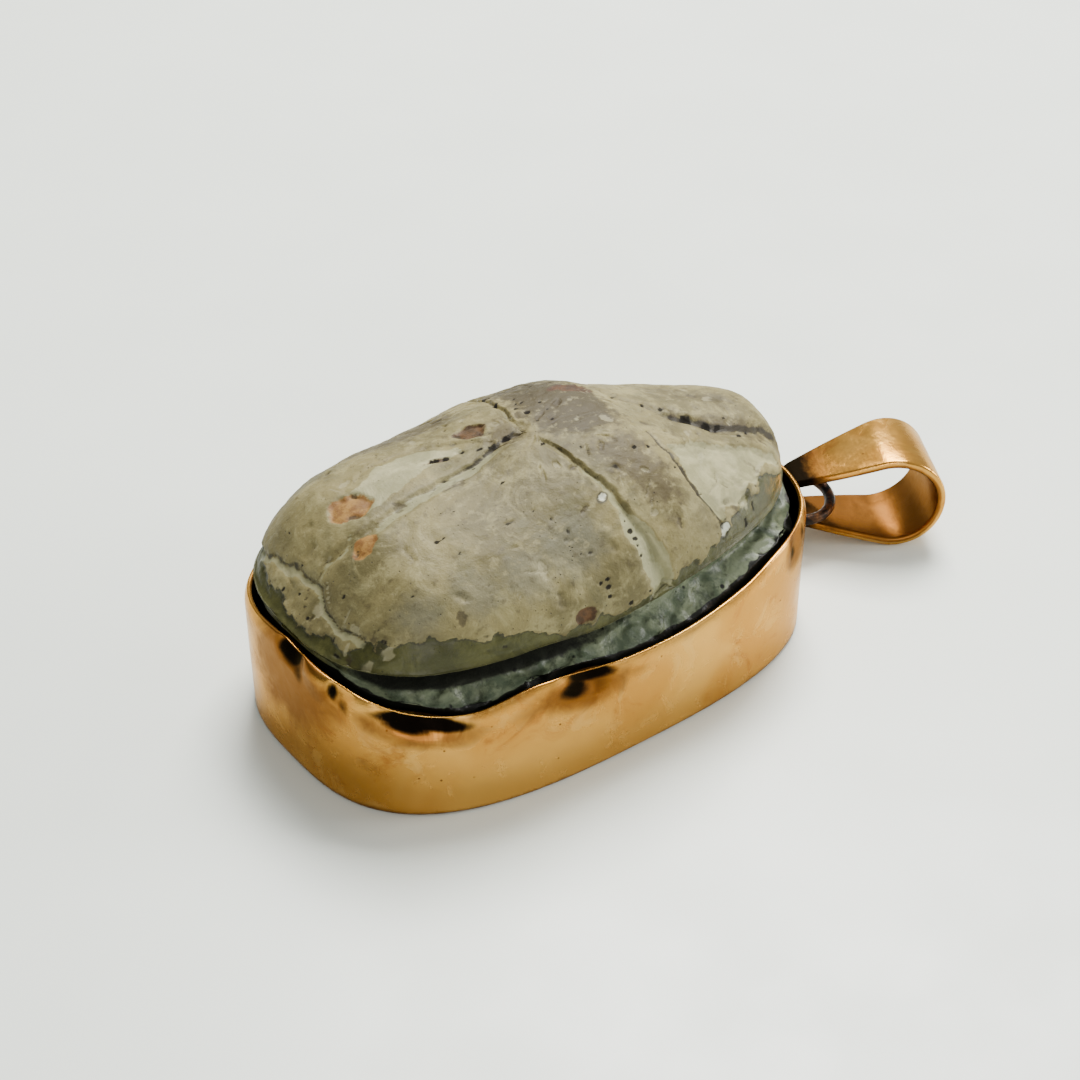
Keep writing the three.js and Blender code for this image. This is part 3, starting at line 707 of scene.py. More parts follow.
suture = [(-8.2, 0.3), (-7.3, 0.0), (-6.36, -0.15), (-5.4, 0.02), (-4.5, 0.12), (-3.7, 0.17), (-2.6, 0.33),
          (-1.6, 0.42), (-0.8, 0.5), (-0.2, 0.62)]
transverse = [(0.75, 5.2), (0.6, 4.2), (0.35, 2.3), (-0.15, 0.9), (-0.3, 0.1), (0.08, -0.7), (0.28, -1.8),
              (0.58, -2.8), (0.78, -3.7), (0.86, -4.5), (1.06, -5.2), (1.35, -5.6), (1.5, -5.8)]
second = [(3.5, -1.5), (3.5, -2.3), (3.5, -2.95), (3.48, -3.7), (3.65, -4.3), (3.86, -4.85), (4.05, -5.3)]
head_line = [(3.2, 2.6), (4.05, 1.96), (4.5, 1.1), (5.05, 0.35), (5.4, -0.5), (6.04, -0.9), (6.62, -1.35),
             (7.3, -1.8), (8.1, -2.05), (9.2, -2.3)]
tail_line = [(-8.3, 3.9), (-8.48, 3.17), (-8.47, 1.76), (-8.36, 0.27), (-8.49, -0.26), (-8.66, -1.02),
             (-8.72, -1.82), (-8.46, -2.9)]
tail_branch = [(-8.36, 0.27), (-7.88, 0.1), (-7.5, -0.15), (-7.0, 0.2)]
wing_fold = [(-6.2, 1.9), (-4.8, 2.5), (-3.2, 2.45), (-1.86, 1.5), (-1.3, 0.95)]

cut_line(suture, 0.16, lambda p: 0.34 + 0.2 * np.sin(math.pi * p), 0.2,
         pale=lambda p: 1.1 * ease(0.1, 0.35, p) * ease(0.95, 0.7, p), dark=lambda p: 0.3 + ease(0.5, 0.8, p))
cut_line(transverse, lambda p: 0.08 + 0.06 * p, lambda p: 0.17 + 0.5 * ease(0.5, 0.9, p),
         lambda p: 0.15 + 0.12 * ease(0.4, 0.8, p), pale=lambda p: 0.4 + 0.65 * ease(0.45, 0.75, p),
         dark=lambda p: 0.6 - 0.3 * ease(0.55, 0.8, p), ends=(0.02, 0.001))
cut_line(second, 0.16, 0.1, 0.14, pale=0.0, dark=1.1)
cut_line(head_line, lambda p: 0.2 + 0.2 * ease(0.45, 0.6, p), lambda p: 0.35 + 0.3 * ease(0.4, 0.7, p),
         lambda p: 0.18 + 0.16 * ease(0.4, 0.6, p), pale=0.0, dark=lambda p: 0.6 + 0.7 * ease(0.4, 0.55, p))
cut_line(tail_line, 0.14, 0.17, 0.14, pale=1.1, dark=0.9)
cut_line(tail_branch, 0.1, 0.14, 0.1, pale=0.7, dark=0.7)
cut_line(wing_fold, 0.14, 0.3, 0.07, pale=0.2, dark=0.5)
print("deepest line:", round(float(carved.max()), 3), "mm")

# %% [markdown]
# Knocks have taken thin flakes off the glazed back. Fresh ones show the body in orange and brown, older ones
# are pale flat facets. A flake's floor is nearly flat with a sharp edge, so its depth rises at once inside
# the edge and then hardly changes.

# %% Chips and facets
patch_kinds = ("orange", "brown", "facet", "glassy", "umber", "shade", "slate")
patches = {name: np.full_like(x, -1.0) for name in patch_kinds}


def add_patch(kind, field, depth, edge=0.06):
    """Note a patch for its colour, and lower the stone inside it with a sharp edge."""
    field = np.where(is_back > 0, field + 0.05 * ragged_small, -1)
    np.maximum(carved, depth * ease(0, edge, field), out=carved)
    np.maximum(patches[kind], field, out=patches[kind])


# Oval chips: the kind, the place, the two sizes, the turn in degrees and the depth.
for kind, place, size, lean, depth in (
    ("orange", (-6.38, 1.18), (1.6, 1.25), -25, 0.12), ("orange", (-7.01, -0.62), (1.2, 0.85), 25, 0.07),
    ("brown", (-1.26, 1.75), (1.35, 0.75), -30, 0.09), ("brown", (3.03, 1.75), (1.9, 0.85), -15, 0.07),
    ("brown", (-1.92, -5.56), (0.95, 0.6), 0, 0.09), ("brown", (-2.95, 1.3), (0.9, 0.3), -15, 0.05),
    ("glassy", (0.3, -3.44), (0.44, 0.32), 30, 0.06), ("glassy", (4.15, -5.15), (0.4, 0.9), 10, 0.06),
    ("slate", (-1.6, -4.2), (2.6, 2.2), -10, 0), ("slate", (-3.4, -4.4), (2.2, 2.0), -10, 0),
    ("slate", (-5.1, -4.2), (2.0, 1.8), -10, 0), ("slate", (-7.0, -3.7), (1.8, 1.6), -10, 0),
    ("slate", (-4.4, 0.1), (3.4, 0.7), -10, 0),
):
    add_patch(kind, spot_field(wander_x, wander_y, place, size, lean), depth)

head_facet = [(3.75, -2.5), (5.0, -2.1), (5.92, -2.45), (8.12, -3.0), (8.3, -3.25), (7.3, -3.45),
              (6.68, -3.95), (5.9, -4.1), (5.54, -4.65), (4.6, -4.7), (4.09, -5.05), (3.8, -4.75),
              (3.6, -3.8)]
neck_facet = [(0.4, -3.9), (1.0, -4.3), (1.45, -5.2), (1.75, -5.8), (0.8, -5.85), (0.6, -5.45), (0.35, -4.9)]
wing_tongue = [(-6.16, 1.6), (-4.75, 2.3), (-3.19, 2.3), (-1.95, 1.4), (-2.03, 1.1), (-2.83, 1.2),
               (-3.78, 0.9), (-5.42, 0.5), (-6.15, 0.5)]
notch = [(4.85, -2.45), (4.62, -2.95), (4.45, -3.35), (4.95, -2.95), (5.4, -2.5)]
head_hollow = [(5.6, -0.4), (6.2, -0.5), (7.2, -0.95), (7.9, -1.4), (9.3, -2.0), (9.3, -2.5), (7.6, -2.2),
               (6.6, -1.7), (5.9, -1.2)]
upper_wear = [(0.6, 4.3), (2.4, 4.0), (3.6, 2.0), (3.6, 0.2), (3.0, -1.2), (1.2, -1.2), (0.3, -0.2),
              (0.4, 1.6)]
neck_wear = [(0.5, -1.0), (3.3, -1.3), (3.3, -4.6), (2.0, -5.3), (1.4, -4.4), (0.7, -2.6)]
far_neck = [(0.9, 5.4), (2.6, 4.9), (4.3, 3.4), (4.6, 1.9), (3.8, 2.2), (2.2, 3.4), (0.8, 4.2)]
far_wing = [(-5.2, 4.9), (-2.2, 5.2), (-0.3, 4.6), (-0.4, 2.6), (-2.2, 3.0), (-4.6, 3.9)]
far_head = [(5.2, 3.2), (7.2, 2.0), (8.6, 0.2), (8.8, -1.4), (7.4, -0.6), (5.8, 0.6)]
meeting = [(-1.2, 1.3), (-0.2, 1.5), (0.3, 0.6), (-0.3, -0.1), (-1.6, 0.35)]
# Patches with corners: the kind, the corners, how far in the mark starts, the depth and the edge's width.
for kind, corners, drawn_in, depth, edge in (
    ("facet", head_facet, 0, 0.13, 0.1), ("facet", neck_facet, 0, 0.05, 0.06),
    # The umber laid over the head hollow is painted shade in the broad hollow by the head line.
    ("facet", wing_tongue, 0, 0, 0.06), ("umber", notch, 0, 0.2, 0.12), ("umber", head_hollow, 0, 0.1, 0.4),
    ("umber", upper_wear, 0, 0.03, 0.3), ("shade", upper_wear, 0.15, 0, 0.06),
    ("umber", neck_wear, 0.35, 0.02, 0.3), ("shade", far_neck, 0, 0.02, 0.3),
    ("umber", far_wing, 0.2, 0.02, 0.3), ("shade", far_head, 0.3, 0.04, 0.3),
    ("umber", meeting, 0, 0.05, 0.2),
):
    add_patch(kind, patch_field(wander_x, wander_y, corners) - drawn_in, depth, edge)
print("patches cover", {kind: f"{100 * float((field > 0).mean()):.1f} %" for kind, field in patches.items()})

# %% [markdown]
# Small pits hold black dirt. A few sit in known groups, by the neck line, along the suture and at the start
# of the head line, and a scatter of smaller ones makes the rest of the skin look eaten. The scatter comes
# from the lumps: wherever a fine grain is near its top, there is a hole.

# %% Pits
pit_places = [
    (-1.08, -5.26, 0.15), (-0.78, -5.26, 0.2), (-0.84, -5.38, 0.24), (-0.92, -5.5, 0.22),
    (-1.45, -5.48, 0.12), (-0.18, -5.66, 0.22), (0.6, -4.28, 0.16), (0.65, -4.62, 0.17), (0.62, -4.8, 0.2),
    (0.57, -5.0, 0.2), (0.59, -5.19, 0.17), (0.93, -5.33, 0.14), (0.6, -5.53, 0.15), (0.47, -5.65, 0.2),
    (0.52, 1.57, 0.22), (0.65, 1.24, 0.2), (0.59, 0.58, 0.16), (1.3, 0.96, 0.2), (1.15, 0.35, 0.16),
    (0.23, 0.39, 0.2), (-0.06, -0.64, 0.24), (0.8, -1.51, 0.15), (1.05, -0.35, 0.13), (0.96, 2.38, 0.2),
    (0.42, 2.52, 0.26), (0.7, 3.5, 0.3), (0.9, 1.9, 0.16), (0.75, 2.0, 0.14), (1.5, 1.5, 0.16),
    (1.7, 0.5, 0.12), (2.37, -2.36, 0.2), (2.6, -2.4, 0.13), (2.94, -2.46, 0.2), (3.06, -0.75, 0.14),
    (3.26, -3.43, 0.14), (6.05, -0.77, 0.4), (6.55, -1.25, 0.34), (6.9, -1.4, 0.3), (7.34, -1.16, 0.2),
    (7.3, -2.05, 0.22), (7.75, -1.97, 0.2), (8.6, -2.3, 0.16), (5.5, -0.1, 0.24), (5.0, 0.5, 0.2),
    (4.4, 1.2, 0.2), (4.1, 1.8, 0.16), (-1.89, -2.67, 0.14), (-4.09, -1.31, 0.14), (-4.97, -2.97, 0.16),
    (-5.25, -2.12, 0.16), (-5.0, -2.16, 0.12), (-3.43, -5.2, 0.13), (-1.29, -4.51, 0.12),
    (-2.06, -1.1, 0.16), (-2.95, 1.33, 0.3), (-2.6, 1.25, 0.26), (-2.1, 1.05, 0.22), (-1.63, 0.72, 0.26),
    (-1.2, 0.6, 0.28), (-0.75, 0.55, 0.26), (-2.23, 0.26, 0.14), (-1.72, -0.1, 0.16), (-7.9, 2.4, 0.16),
    (-8.2, -1.2, 0.18), (-7.7, -1.7, 0.12), (-8.9, 1.4, 0.2), (-8.75, 0.6, 0.16), (-9.0, -0.3, 0.18),
    (-8.3, 1.2, 0.14), (4.3, 3.1, 0.2), (2.0, 2.9, 0.16), (-6.9, -3.2, 0.12),
]
pit_slope, pit_depth, grain_depth = 0.6, 0.078, 0.045
pit_mark = np.zeros_like(x)
for pit_x, pit_y, pit_size in pit_places:
    field = spot_field(wander_x, wander_y, (pit_x, pit_y), (pit_size * 1.3, pit_size), 20)
    field = np.where(is_back > 0, field + 0.03 * ragged_small, -1)
    carved += np.clip(pit_slope * field, 0, pit_depth)
    pit_mark = np.maximum(pit_mark, ease(-0.01, 0.05, field))
eaten = ease(0.5, 0.85, lumps(stone_rows, 0.27, 61)) * ease(-0.1, 0.5, lumps(stone_rows, 1.6, 62)) * is_back
carved += grain_depth * eaten
print(f"pits: {len(pit_places)}, and a scatter over {100 * float((eaten > 0.3).mean()):.1f} % of the points")

# %% [markdown]
# Between the named marks the whole back is nicked: little flakes and short scratches of every direction. They
# are strewn by a random number generator with a fixed start, so each run strews them alike. They crowd where
# the stone is most worn, behind the neck and at the two ends.

# %% Strewn nicks
strew = np.random.default_rng(1634)
nick_count, crowded_share, dark_share, scratch_width = 190, 0.45, 0.6, 0.07
crowded_at, crowd_along, crowd_across = [-8.3, -0.6, 1.9, 5.2, 7.0], 0.7, 2.2
nick_mark = np.zeros_like(x)
for n in range(nick_count):
    nick_x, nick_y = strew.uniform(-9.2, 9.2), strew.uniform(-5.4, 5.6)
    if strew.uniform() < crowded_share:
        nick_x = strew.choice(crowded_at) + strew.normal(0, crowd_along)
        nick_y = strew.normal(0, crowd_across)
    length = strew.uniform(0.18, 0.6)
    if n % 3 == 0:
        # Every third one is a straight scratch.
        size, place = (length * 1.8, scratch_width), (x, y)
    else:
        size, place = (length, length * strew.uniform(0.4, 0.8)), (wander_x, wander_y)
    along, across = turned(place[0] - nick_x, place[1] - nick_y, strew.uniform(0, 180))
    inside = ease(0, 0.35, 1 - np.hypot(along / (size[0] / 2), across / (size[1] / 2))) * is_back
    carved += strew.uniform(0.02, 0.06) * inside
    shade = strew.uniform(0.3, 1.0) * (1 if strew.uniform() < dark_share else -1)
    nick_mark = np.where(inside > np.abs(nick_mark), inside * shade, nick_mark)
print(f"nicks and scratches over {100 * float((np.abs(nick_mark) > 0.1).mean()):.1f} % of the points")

# %% [markdown]
# A thin skin of worn glaze and dirt covers the back and ends in a ragged line just above the rim. Below the
# line the green stone shows. The line's height above the rim is a smooth curve round the stone, and the
# lumps make it ragged. The step there is nearly a tenth of a millimetre.

# %% The ragged edge of the skin
skin_line = [(-180, 0.3), (-167, 0.55), (-161, 0.84), (-152, 1.15), (-142, 1.0), (-128, 0.66), (-117, 0.42),
             (-107, 0.28), (-92, 0.25), (-80, 0.45), (-70, 0.5), (-58, 0.55), (-45, 1.0), (-30, 1.15),
             (-19, 0.55), (0, 0.5), (30, 0.6), (90, 0.5), (140, 0.6), (165, 0.6), (180, 0.3)]
angle = np.arctan2(y, x - rim_forward)
above_rim = z - rim_at(angle)
ragged = 0.2 * lumps(stone_rows, 0.7, 31) + 0.14 * lumps(stone_rows, 0.28, 32)
ragged += 0.06 * lumps(stone_rows, 0.13, 33)
above_skin_line = above_rim - through(skin_line, np.degrees(angle)) + ragged
skin = ease(-0.02, 0.05, above_skin_line) * is_back
skin_depth = 0.08
carved += skin_depth * (1 - skin) * is_back * ease(-0.05, 0.25, above_rim)

# Soft swells of the whole stone and its grain.
soft = 0.05 * (0.5 + 0.5 * lumps(stone_rows, 2.4, 41)) + 0.06 * (0.5 + 0.5 * lumps(stone_rows, 0.95, 42))
gritty = 0.028 * (0.5 + 0.5 * lumps(stone_rows, 0.33, 43)) + 0.02 * (0.5 + 0.5 * lumps(stone_rows, 0.16, 44))
seen = ease(-2.2, -0.6, z - rim_height)
print("the skin covers", round(100 * float(skin.sum() / is_back.sum())), "% of the back")

# %% [markdown]
# Between the back and the gold the old glaze has crumbled to a blue-green ledge. Its edge is nibbled, the
# slot above it is painted dark as shade, deepest at the tail, and a black line of painted shade marks where
# it meets the lip.

# %% The ledge, the slot and the painted shade in the slot and at the lip
lip_here = lip_at(np.arctan2(y, x))
slot_floor = rim_at(angle) - 0.12 - slot_height * slot_share(angle)
below_back = 1 - is_back
ledge_foot = np.minimum(lip_here, slot_floor - 0.2)
on_ledge = ease(-0.6, 0.1, z - ledge_foot) * ease(0.15, -0.1, z - slot_floor) * below_back
nibbled = 0.2 * ease(0.0, 0.4, lumps(stone_rows, 1.0, 51)) + 0.1 * ease(0.1, 0.5, lumps(stone_rows, 0.45, 52))
from_rim = oval_radius(rim_oval, angle) - np.hypot(x - rim_forward, y)
# Painted shade in the slot: how strong it is at each angle round the stone, most towards the tail.
slot_shade_by_angle = [(-180, 0.8), (-155, 1.2), (-125, 1.1), (-105, 0.6), (-80, 0.25), (-40, 0.1), (0, 0.1), (60, 0.5),
             (180, 0.8)]
slot_shade = ease(0.1, 0.6, from_rim) * ease(-0.25, 0.02, z - slot_floor) * below_back
slot_shade *= through(slot_shade_by_angle, np.degrees(angle))
# Painted shade: a black line on the stone where it meets the gold's lip.
gap_shade_level = np.minimum(lip_here, slot_floor - 0.12)
gap_shade = ease(0.09, -0.06, z - gap_shade_level + 0.06 * ragged_small)
gap_shade *= ease(-2.2, -1.2, z - lip_here) * below_back
print("deepest place of the slot:", round(float((from_rim * (slot_shade > 0.1)).max()), 2), "mm in from the rim")

# %% [markdown]
# The underside shows through the open back of the band. It has an oval border and rows of plain strokes, as
# the undersides of such beetles are cut. Nothing of it is seen from above, so it is kept simple: each stroke
# is a lens-shaped hollow.

# %% The underside's border and strokes
border_inset, border_width, carving_depth = 0.75, 0.3, 0.18
stroke_length, stroke_width, stroke_rows, strokes_in_row, stroke_leans = 1.7, 0.36, 3, 6, (72, 20, -58)
border = wall + ledge_width + border_inset
field_length = band_length - 2 * (border + border_width + 1)
field_width = band_width - 2 * (border + border_width + 0.5)
under = (z < seat_height + 0.02) & (np.arange(len(stone_rows)) < underside_steps + 4)[:, None]
band_radius = oval_radius(band_oval, np.arctan2(y, x))
border_gap = np.abs(band_radius - np.hypot(x, y) - border - border_width / 2)
under_carving = carving_depth * np.clip(1.4 - border_gap / (border_width / 2), 0, 1)
for row in range(stroke_rows):
    for n in range(strokes_in_row):
        narrow = 1 if row == 1 else 0.8
        stroke_x = field_length * narrow * ((n + 0.5) / strokes_in_row - 0.5)
        stroke_y = field_width * ((row + 0.5) / stroke_rows - 0.5)
        along, across = turned(x - stroke_x, y - stroke_y, stroke_leans[(n + row) % 3])
        lens = 1 - np.abs(along) / (stroke_length / 2) - np.abs(across) / (stroke_width / 2)
        under_carving = np.maximum(under_carving, carving_depth * np.clip(lens * 1.5, 0, 1))
print(f"strokes: {stroke_rows * strokes_in_row} over {field_length:.1f} by {field_width:.1f} mm")

# %% [markdown]
# All that was noted so far lowers the surface along its own normal: lines, chips, pits and nicks, the soft
# swells of worn stone and the nibbled ledge. The mesh keeps each note as a mark for the finish.

# %% The stone
def normals_of(rows):
    """Outward normals of a grid: the cross product of its two directions."""
    along = np.roll(rows, -1, 1) - np.roll(rows, 1, 1)
    up = np.gradient(rows, axis=0)
    normal = np.cross(along, up)
    return normal / np.maximum(np.linalg.norm(normal, axis=-1, keepdims=True), 1e-12)


sink = carved + (soft + gritty) * np.maximum(is_back, seen) + nibbled * on_ledge
sink = (sink + draw_in * is_back) * (z > rim_height - 2.4)
stone_rows = stone_rows - normals_of(stone_rows) * sink[..., None]
stone_rows[..., 2] += under_carving * under
stone = make_piece(
    "stone_beetle", stone_rows,
    marks={
        "pale": pale_mark, "dark": dark_mark, "pit": np.maximum(pit_mark, 0.8 * eaten),
        "nick": nick_mark, **patches, "above_rim": np.clip(above_rim, -3, 4),
        "above_skin": np.clip(above_skin_line, -1, 1),
        "slot_shade": slot_shade, "gap_shade": gap_shade, "in_strokes": under_carving * under / carving_depth,
        "underside": 1.0 * under,
    },
)
print("stone's box in mm:", (stone_rows.min((0, 1)) + band_middle).round(2),
      (stone_rows.max((0, 1)) + band_middle).round(2))

# %% [markdown]
# Materials are node trees. A few helpers keep them readable: each adds one node and returns its output, so a
# finish reads as a recipe. Colours are written as on a screen, 0 to 255, and turned into the linear values
# that a shader needs.

# %% Material helpers
def screen(red, green, blue):
    """A screen's colour made linear: share / 12.92 where dark, else ((share + 0.055) / 1.055) ^ 2.4."""
    share = np.array([red, green, blue]) / 255
    linear = np.where(share <= 0.04045, share / 12.92, ((share + 0.055) / 1.055) ** 2.4)
    return (*[float(v) for v in linear], 1.0)


class Finish:
    """A new material and the nodes in it."""

    def __init__(self, name, **surface):
        self.material = bpy.data.materials.new(name)
        self.material.use_nodes = True
        self.tree = self.material.node_tree
        self.place = self.add("TexCoord").outputs["Object"]
        self.wear(**surface)

    def feed(self, socket, value):
        """Link a node's output to a socket, or set the socket to a plain value."""
        if isinstance(value, bpy.types.NodeSocket):
            self.tree.links.new(value, socket)
        else:
            socket.default_value = value

    def add(self, kind, inputs=(), **settings):
        """One more node, its inputs fed by their names or numbers."""
        node = self.tree.nodes.new("ShaderNode" + kind)
        for name, value in settings.items():
            setattr(node, name, value)
        for name, value in dict(inputs).items():
            self.feed(node.inputs[name], value)
        return node

    def noise(self, size, detail=4.0, roughness=0.55, warp=0.0, stretch=None):
        """Noise with lumps of about this size in mm, finer along an axis that is stretched."""
        place = self.place
        if stretch:
            place = self.add("Mapping", {"Vector": place, "Scale": stretch}).outputs["Vector"]
        look = {"Scale": 1 / (size * MM), "Detail": detail, "Roughness": roughness, "Distortion": warp}
        return self.add("TexNoise", {"Vector": place, **look}).outputs["Fac"]

    def cells(self, size):
        """Distance from scattered points about this far apart in mm."""
        look = {"Scale": 1 / (size * MM), "Randomness": 1.0}
        return self.add("TexVoronoi", {"Vector": self.place, **look}).outputs["Distance"]

    def mark(self, name):
        """A value that the piece's points carry."""
        return self.add("Attribute", attribute_name=name).outputs["Fac"]

    def math(self, kind, a, b):
        return self.add("Math", {0: a, 1: b}, operation=kind).outputs["Value"]

    def times(self, a, b):
        return self.math("MULTIPLY", a, b)

    def plus(self, a, b):
        return self.math("ADD", a, b)

    def between(self, value, low, high, to_low=0.0, to_high=1.0):
        """A smooth step from to_low at low to to_high at high."""
        ends = {"From Min": low, "From Max": high, "To Min": to_low, "To Max": to_high}
        step = self.add("MapRange", {"Value": value, **ends}, interpolation_type="SMOOTHSTEP")
        return step.outputs["Result"]

    def mix(self, share, a, b):
        """The colour a where the share is 0, the colour b where it is 1. A plain colour is a screen's."""
        node = self.add("Mix", {"Factor": share}, data_type="RGBA")
        for socket, colour in zip((socket for socket in node.inputs if socket.type == "RGBA"), (a, b)):
            self.feed(socket, screen(*colour) if isinstance(colour, tuple) else colour)
        return next(socket for socket in node.outputs if socket.type == "RGBA")

    def layers(self, colour, *tops):
        """The colour with others laid over it, each with its share, its strength and its own colour."""
        for share, strength, top in tops:
            colour = self.mix(self.times(share, strength), colour, top)
        return colour

    def bump(self, height, distance, strength, under=None):
        """Relief of this depth in mm, sunk where the distance is negative, on top of another one if given."""
        look = {"Height": height, "Distance": abs(distance) * MM, "Strength": strength}
        below = {"Normal": under} if under else {}
        return self.add("Bump", {**look, **below}, invert=distance < 0).outputs["Normal"]

    def wear(self, **sockets):
        """Set or feed the shader's sockets."""
        for socket, value in sockets.items():
            self.feed(self.tree.nodes["Principled BSDF"].inputs[socket.replace("_", " ")], value)
        return self.material


# %% [markdown]
# Low-carat gold that has been worn for years: rubbed bright on the swell, a copper-brown film in spots and
# near the lip, almost black in the pressed hollows, and tiny pits. The marks also paint shade: a copper-brown
# contact shadow at the foot, near black and brown inside the band behind the lip, and brown inside the bail's
# loop. One gold colour would look like plastic, so the film, the dark spots and the painted shade are laid
# over it by the piece's own marks and by noise.

# %% Gold
def gold_finish(name):
    """Polished gold, a lighter rubbed one, then film, pits, and the piece's own marks of brown film,
    near-black spots and painted shade.
    """
    gold = Finish(name, Metallic=1.0, Specular_Tint=screen(248, 231, 206))
    broad, patchy = gold.noise(5.5, 3, 0.55, 0.5), gold.noise(1.3, 5, 0.65, 0.8)
    uneven = gold.math("SUBTRACT", patchy, 0.5)
    film = gold.times(gold.between(gold.noise(1.9, 5, 0.7, 1.2), 0.53, 0.72), gold.between(broad, 0.42, 0.6))
    pits = gold.times(gold.between(gold.cells(0.55), 0.1, 0.05), gold.between(gold.noise(1.5, 2), 0.5, 0.58))
    # The piece's marks carry painted shade as well as film and dark spots: inside the band, at its foot and
    # inside the bail's loop.
    copper_and_shade = gold.between(gold.plus(gold.mark("copper_and_shade"), gold.times(uneven, 1.1)), 0.1, 0.85)
    black = gold.between(gold.plus(gold.mark("dirt_and_shade"), gold.times(uneven, 0.8)), 0.2, 0.85)
    colour = gold.layers(
        gold.mix(gold.between(broad, 0.4, 0.62), (206, 156, 76), (184, 130, 56)),
        (gold.between(patchy, 0.5, 0.7), 0.4, (216, 174, 100)),
        (film, 0.6, (140, 78, 32)),
        (pits, 0.85, (84, 48, 24)),
        (copper_and_shade, 0.9, (104, 60, 22)),
        (black, 1.0, (12, 8, 5)),
    )
    rough = gold.plus(gold.between(patchy, 0.35, 0.75, 0.2, 0.34), gold.times(copper_and_shade, 0.12))
    rough = gold.plus(rough, gold.times(black, 0.25))
    relief = gold.bump(gold.noise(0.9, 4, 0.6), 0.03, 0.5)
    relief = gold.bump(gold.noise(0.22, 3, 0.6), 0.008, 0.5, relief)
    relief = gold.bump(gold.noise(0.5, 2, 0.5, 0, (1, 1, 14)), 0.006, 0.5, relief)
    return gold.wear(Base_Color=colour, Roughness=rough, Normal=relief)


band_gold, bail_gold = gold_finish("worn_gold_band"), gold_finish("worn_gold_bail")

dull = Finish("tarnished_wire", Metallic=0.8)
stain = dull.noise(0.7, 5, 0.65, 0.5)
tarnished = dull.wear(
    Base_Color=dull.mix(dull.between(stain, 0.45, 0.66), (26, 17, 11), (106, 68, 36)),
    Roughness=dull.between(stain, 0.3, 0.7, 0.5, 0.32),
    Normal=dull.bump(dull.noise(0.25, 4, 0.6), 0.02, 0.8),
)

# %% [markdown]
# The stone: worn grey-beige skin on the back, with greyer and browner patches, pale facets where flakes came
# off, orange and brown chips, black dirt in pits and painted shade in the lines. Below the ragged line the
# waxy green body shows, painted darker as shade on its downward face, and under the slot the blue-green
# remains of the old glaze; black painted shade fills the slot and the gap at the gold's lip. Each layer is
# mixed over the last.

# %% Steatite
s = Finish("worn_steatite", Specular_IOR_Level=0.2)
broad, middle = s.noise(3.2, 4, 0.6, 0.4), s.noise(1.1, 5, 0.65, 0.6)
small, tiny = s.noise(0.35, 5, 0.65), s.noise(0.1, 3, 0.6)
uneven = s.math("SUBTRACT", small, 0.5)
specks = s.times(s.between(s.cells(0.24), 0.13, 0.06), s.between(s.noise(0.8, 4, 0.7), 0.47, 0.58))


def share_of(name, low=-0.02, high=0.05, wobble=0.3):
    """How much of a marked place shows: none where its mark is below low, all where it is above high. The
    grain moves the mark up and down by up to half the wobble."""
    return s.between(s.plus(s.mark(name), s.times(uneven, wobble)), low, high)


skin_colour = s.layers(
    s.mix(s.between(broad, 0.4, 0.62), (114, 105, 68), (86, 79, 49)),
    (s.between(middle, 0.48, 0.68), 0.65, (135, 127, 88)),
    (s.between(s.noise(2.1, 3, 0.5, 0.9), 0.54, 0.7), 0.5, (82, 79, 55)),
    (share_of("slate", -0.3, 0.6, 1.2), 0.45, (92, 92, 80)),
    (share_of("umber", -0.3, 0.5, 2.0), 0.8, (62, 53, 32)),
    (share_of("shade", -0.3, 0.5, 1.6), 0.55, (44, 37, 20)),
    (s.between(small, 0.56, 0.68), 0.5, (64, 55, 32)),
    (s.between(small, 0.44, 0.34), 0.35, (138, 130, 94)),
    (s.between(tiny, 0.54, 0.7), 0.25, (58, 48, 28)),
    (specks, 0.85, (30, 24, 14)),
)
# The green body is painted darker than its own colour: shade on its downward face.
green = s.layers(
    s.mix(s.between(middle, 0.4, 0.65), (52, 52, 23), (70, 69, 35)),
    (s.between(small, 0.5, 0.7), 0.45, (44, 45, 21)),
    (s.between(specks, 0.4, 0.9), 0.6, (24, 24, 14)),
)
black_dots = s.times(s.between(s.cells(0.7), 0.16, 0.09), s.between(s.noise(1.6, 2), 0.44, 0.5))
blue = s.layers(
    s.mix(s.between(middle, 0.38, 0.62), (62, 71, 54), (100, 107, 84)),
    (s.between(small, 0.52, 0.66), 0.6, (38, 43, 29)),
    (specks, 0.6, (26, 28, 20)),
    (black_dots, 1.0, (5, 5, 4)),
)
below_rim = s.plus(s.mark("above_rim"), s.times(s.math("SUBTRACT", middle, 0.5), 0.2))
body = s.mix(s.between(below_rim, -0.3, -0.12), blue, green)

edge = s.plus(s.mark("above_skin"), s.times(uneven, 0.3))
edge = s.plus(edge, s.times(s.math("SUBTRACT", tiny, 0.5), 0.2))
glassy, nicks, pits = s.mark("glassy"), s.mark("nick"), s.between(s.mark("pit"), 0.25, 0.8)
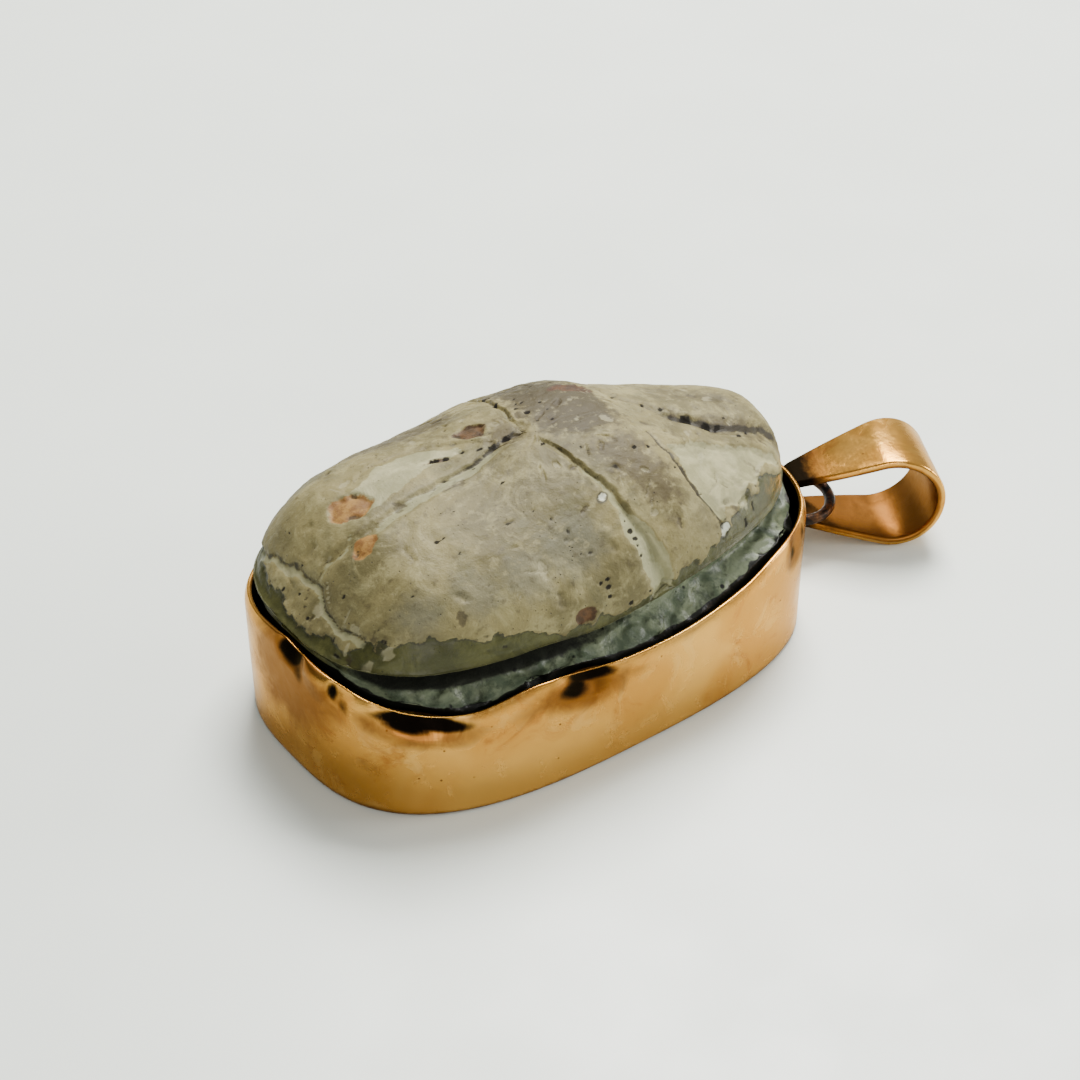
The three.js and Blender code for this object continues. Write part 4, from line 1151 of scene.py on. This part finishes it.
# Each top layer, from the painted shadow under the skin's edge up: flakes, chips and their rims, nicks, then
# the dirt and the painted shade.
colour = s.layers(
    s.mix(s.between(edge, -0.02, 0.03), body, skin_colour),
    # A dark line just below the skin's edge: a painted shadow of the skin's step.
    (s.times(s.between(edge, -0.1, -0.01), s.between(edge, 0.05, 0.0)), 0.6, (34, 32, 20)),
    (share_of("facet"), 0.75, s.mix(s.between(middle, 0.4, 0.65), (124, 122, 90), (150, 146, 112))),
    (share_of("pale", 0.3, 0.75, 1.6), 0.6, (130, 129, 98)),
    (share_of("orange"), 0.9, s.mix(s.between(small, 0.4, 0.6), (134, 98, 46), (106, 70, 30))),
    (share_of("brown"), 0.9, s.mix(s.between(small, 0.4, 0.6), (76, 48, 24), (52, 32, 15))),
    (s.times(s.between(glassy, -0.1, -0.03), s.between(glassy, 0.02, -0.02)), 0.8, (36, 32, 22)),
    (share_of("glassy"), 0.95, (186, 188, 170)),
    (s.between(s.math("SUBTRACT", uneven, nicks), 0.25, 0.75), 0.5, (142, 136, 106)),
    (s.between(s.plus(uneven, nicks), 0.25, 0.75), 0.7, (56, 48, 32)),
    # Painted shade in the carved lines.
    (share_of("dark", 0.4, 0.95, 1.6), 0.85, (30, 25, 15)),
    (pits, 0.95, (20, 17, 12)),
    # Painted shade: black in the slot and along the gold's lip.
    (share_of("slot_shade", 0.1, 0.9, 1.0), 0.93, (14, 14, 10)),
    (share_of("gap_shade", 0.3, 0.6, 0.8), 0.97, (10, 9, 7)),
    (share_of("underside", 0.6, 1.1, 1.2), 0.8, (112, 106, 76)),
    (s.between(s.mark("in_strokes"), 0.05, 0.6), 0.85, (34, 29, 17)),
)
# The pits and the painted shade in the slot are rougher.
pit_dirt_and_slot_shade = s.math("MAXIMUM", pits, s.between(s.mark("slot_shade"), 0.1, 0.9))
rough = s.math("MAXIMUM", s.between(edge, -0.05, 0.05, 0.36, 0.58), s.times(pit_dirt_and_slot_shade, 0.95))
relief = s.bump(middle, 0.08, 0.6)
relief = s.bump(small, 0.035, 0.7, relief)
relief = s.bump(tiny, 0.014, 0.7, relief)
relief = s.bump(specks, -0.03, 0.8, relief)
steatite = s.wear(Base_Color=colour, Roughness=rough, Normal=relief)
print("stone's finish:", len(s.tree.nodes), "nodes")

# %% [markdown]
# The pendant lies on a plain pale board with a faint sheen. The floor is stage, not part of the object, so it
# only has to be clean: a flat disc, with a little noise in its gloss so that it doesn't look painted.

# %% Floor
floor_radius, floor_corners = 900 * MM, 96
floor_mesh = bpy.data.meshes.new("floor")
floor_angle = np.linspace(0, 2 * math.pi, floor_corners, endpoint=False)
floor_edge = np.stack([np.cos(floor_angle), np.sin(floor_angle), 0 * floor_angle], -1) * floor_radius
floor_mesh.from_pydata(floor_edge.tolist(), [], [list(range(floor_corners))])
floor = bpy.data.objects.new("floor", floor_mesh)
bpy.context.scene.collection.objects.link(floor)
board = Finish("pale_board", Specular_IOR_Level=0.4)
board_colour = board.mix(board.noise(30, 3), (214, 219, 212), (208, 214, 206))
floor_mesh.materials.append(
    board.wear(Base_Color=board_colour, Roughness=board.between(board.noise(6, 4), 0.3, 0.7, 0.3, 0.42))
)

# %% [markdown]
# Each fine piece now takes its finish, rides on the pendant's one body and stands for its solid, which is
# hidden.

# %% Put the pieces on the frame
for piece, node, slot, material in (
    (stone, "scarab", "stone", steatite),
    (band, "bezel", "gold", band_gold),
    (eye, "bezel", "gold", bail_gold),
    (ring, "jump_ring", "tarnished_gold", tarnished),
    (bail, "bail", "gold", bail_gold),
):
    piece.data.materials.append(material)
    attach(piece, "root")
    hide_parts(node)
# The solids get the same finishes.
for node, material in dict(scarab=steatite, bezel=band_gold, jump_ring=tarnished, bail=bail_gold).items():
    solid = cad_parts[node]
    solid.data.materials.clear()
    solid.data.materials.append(material)
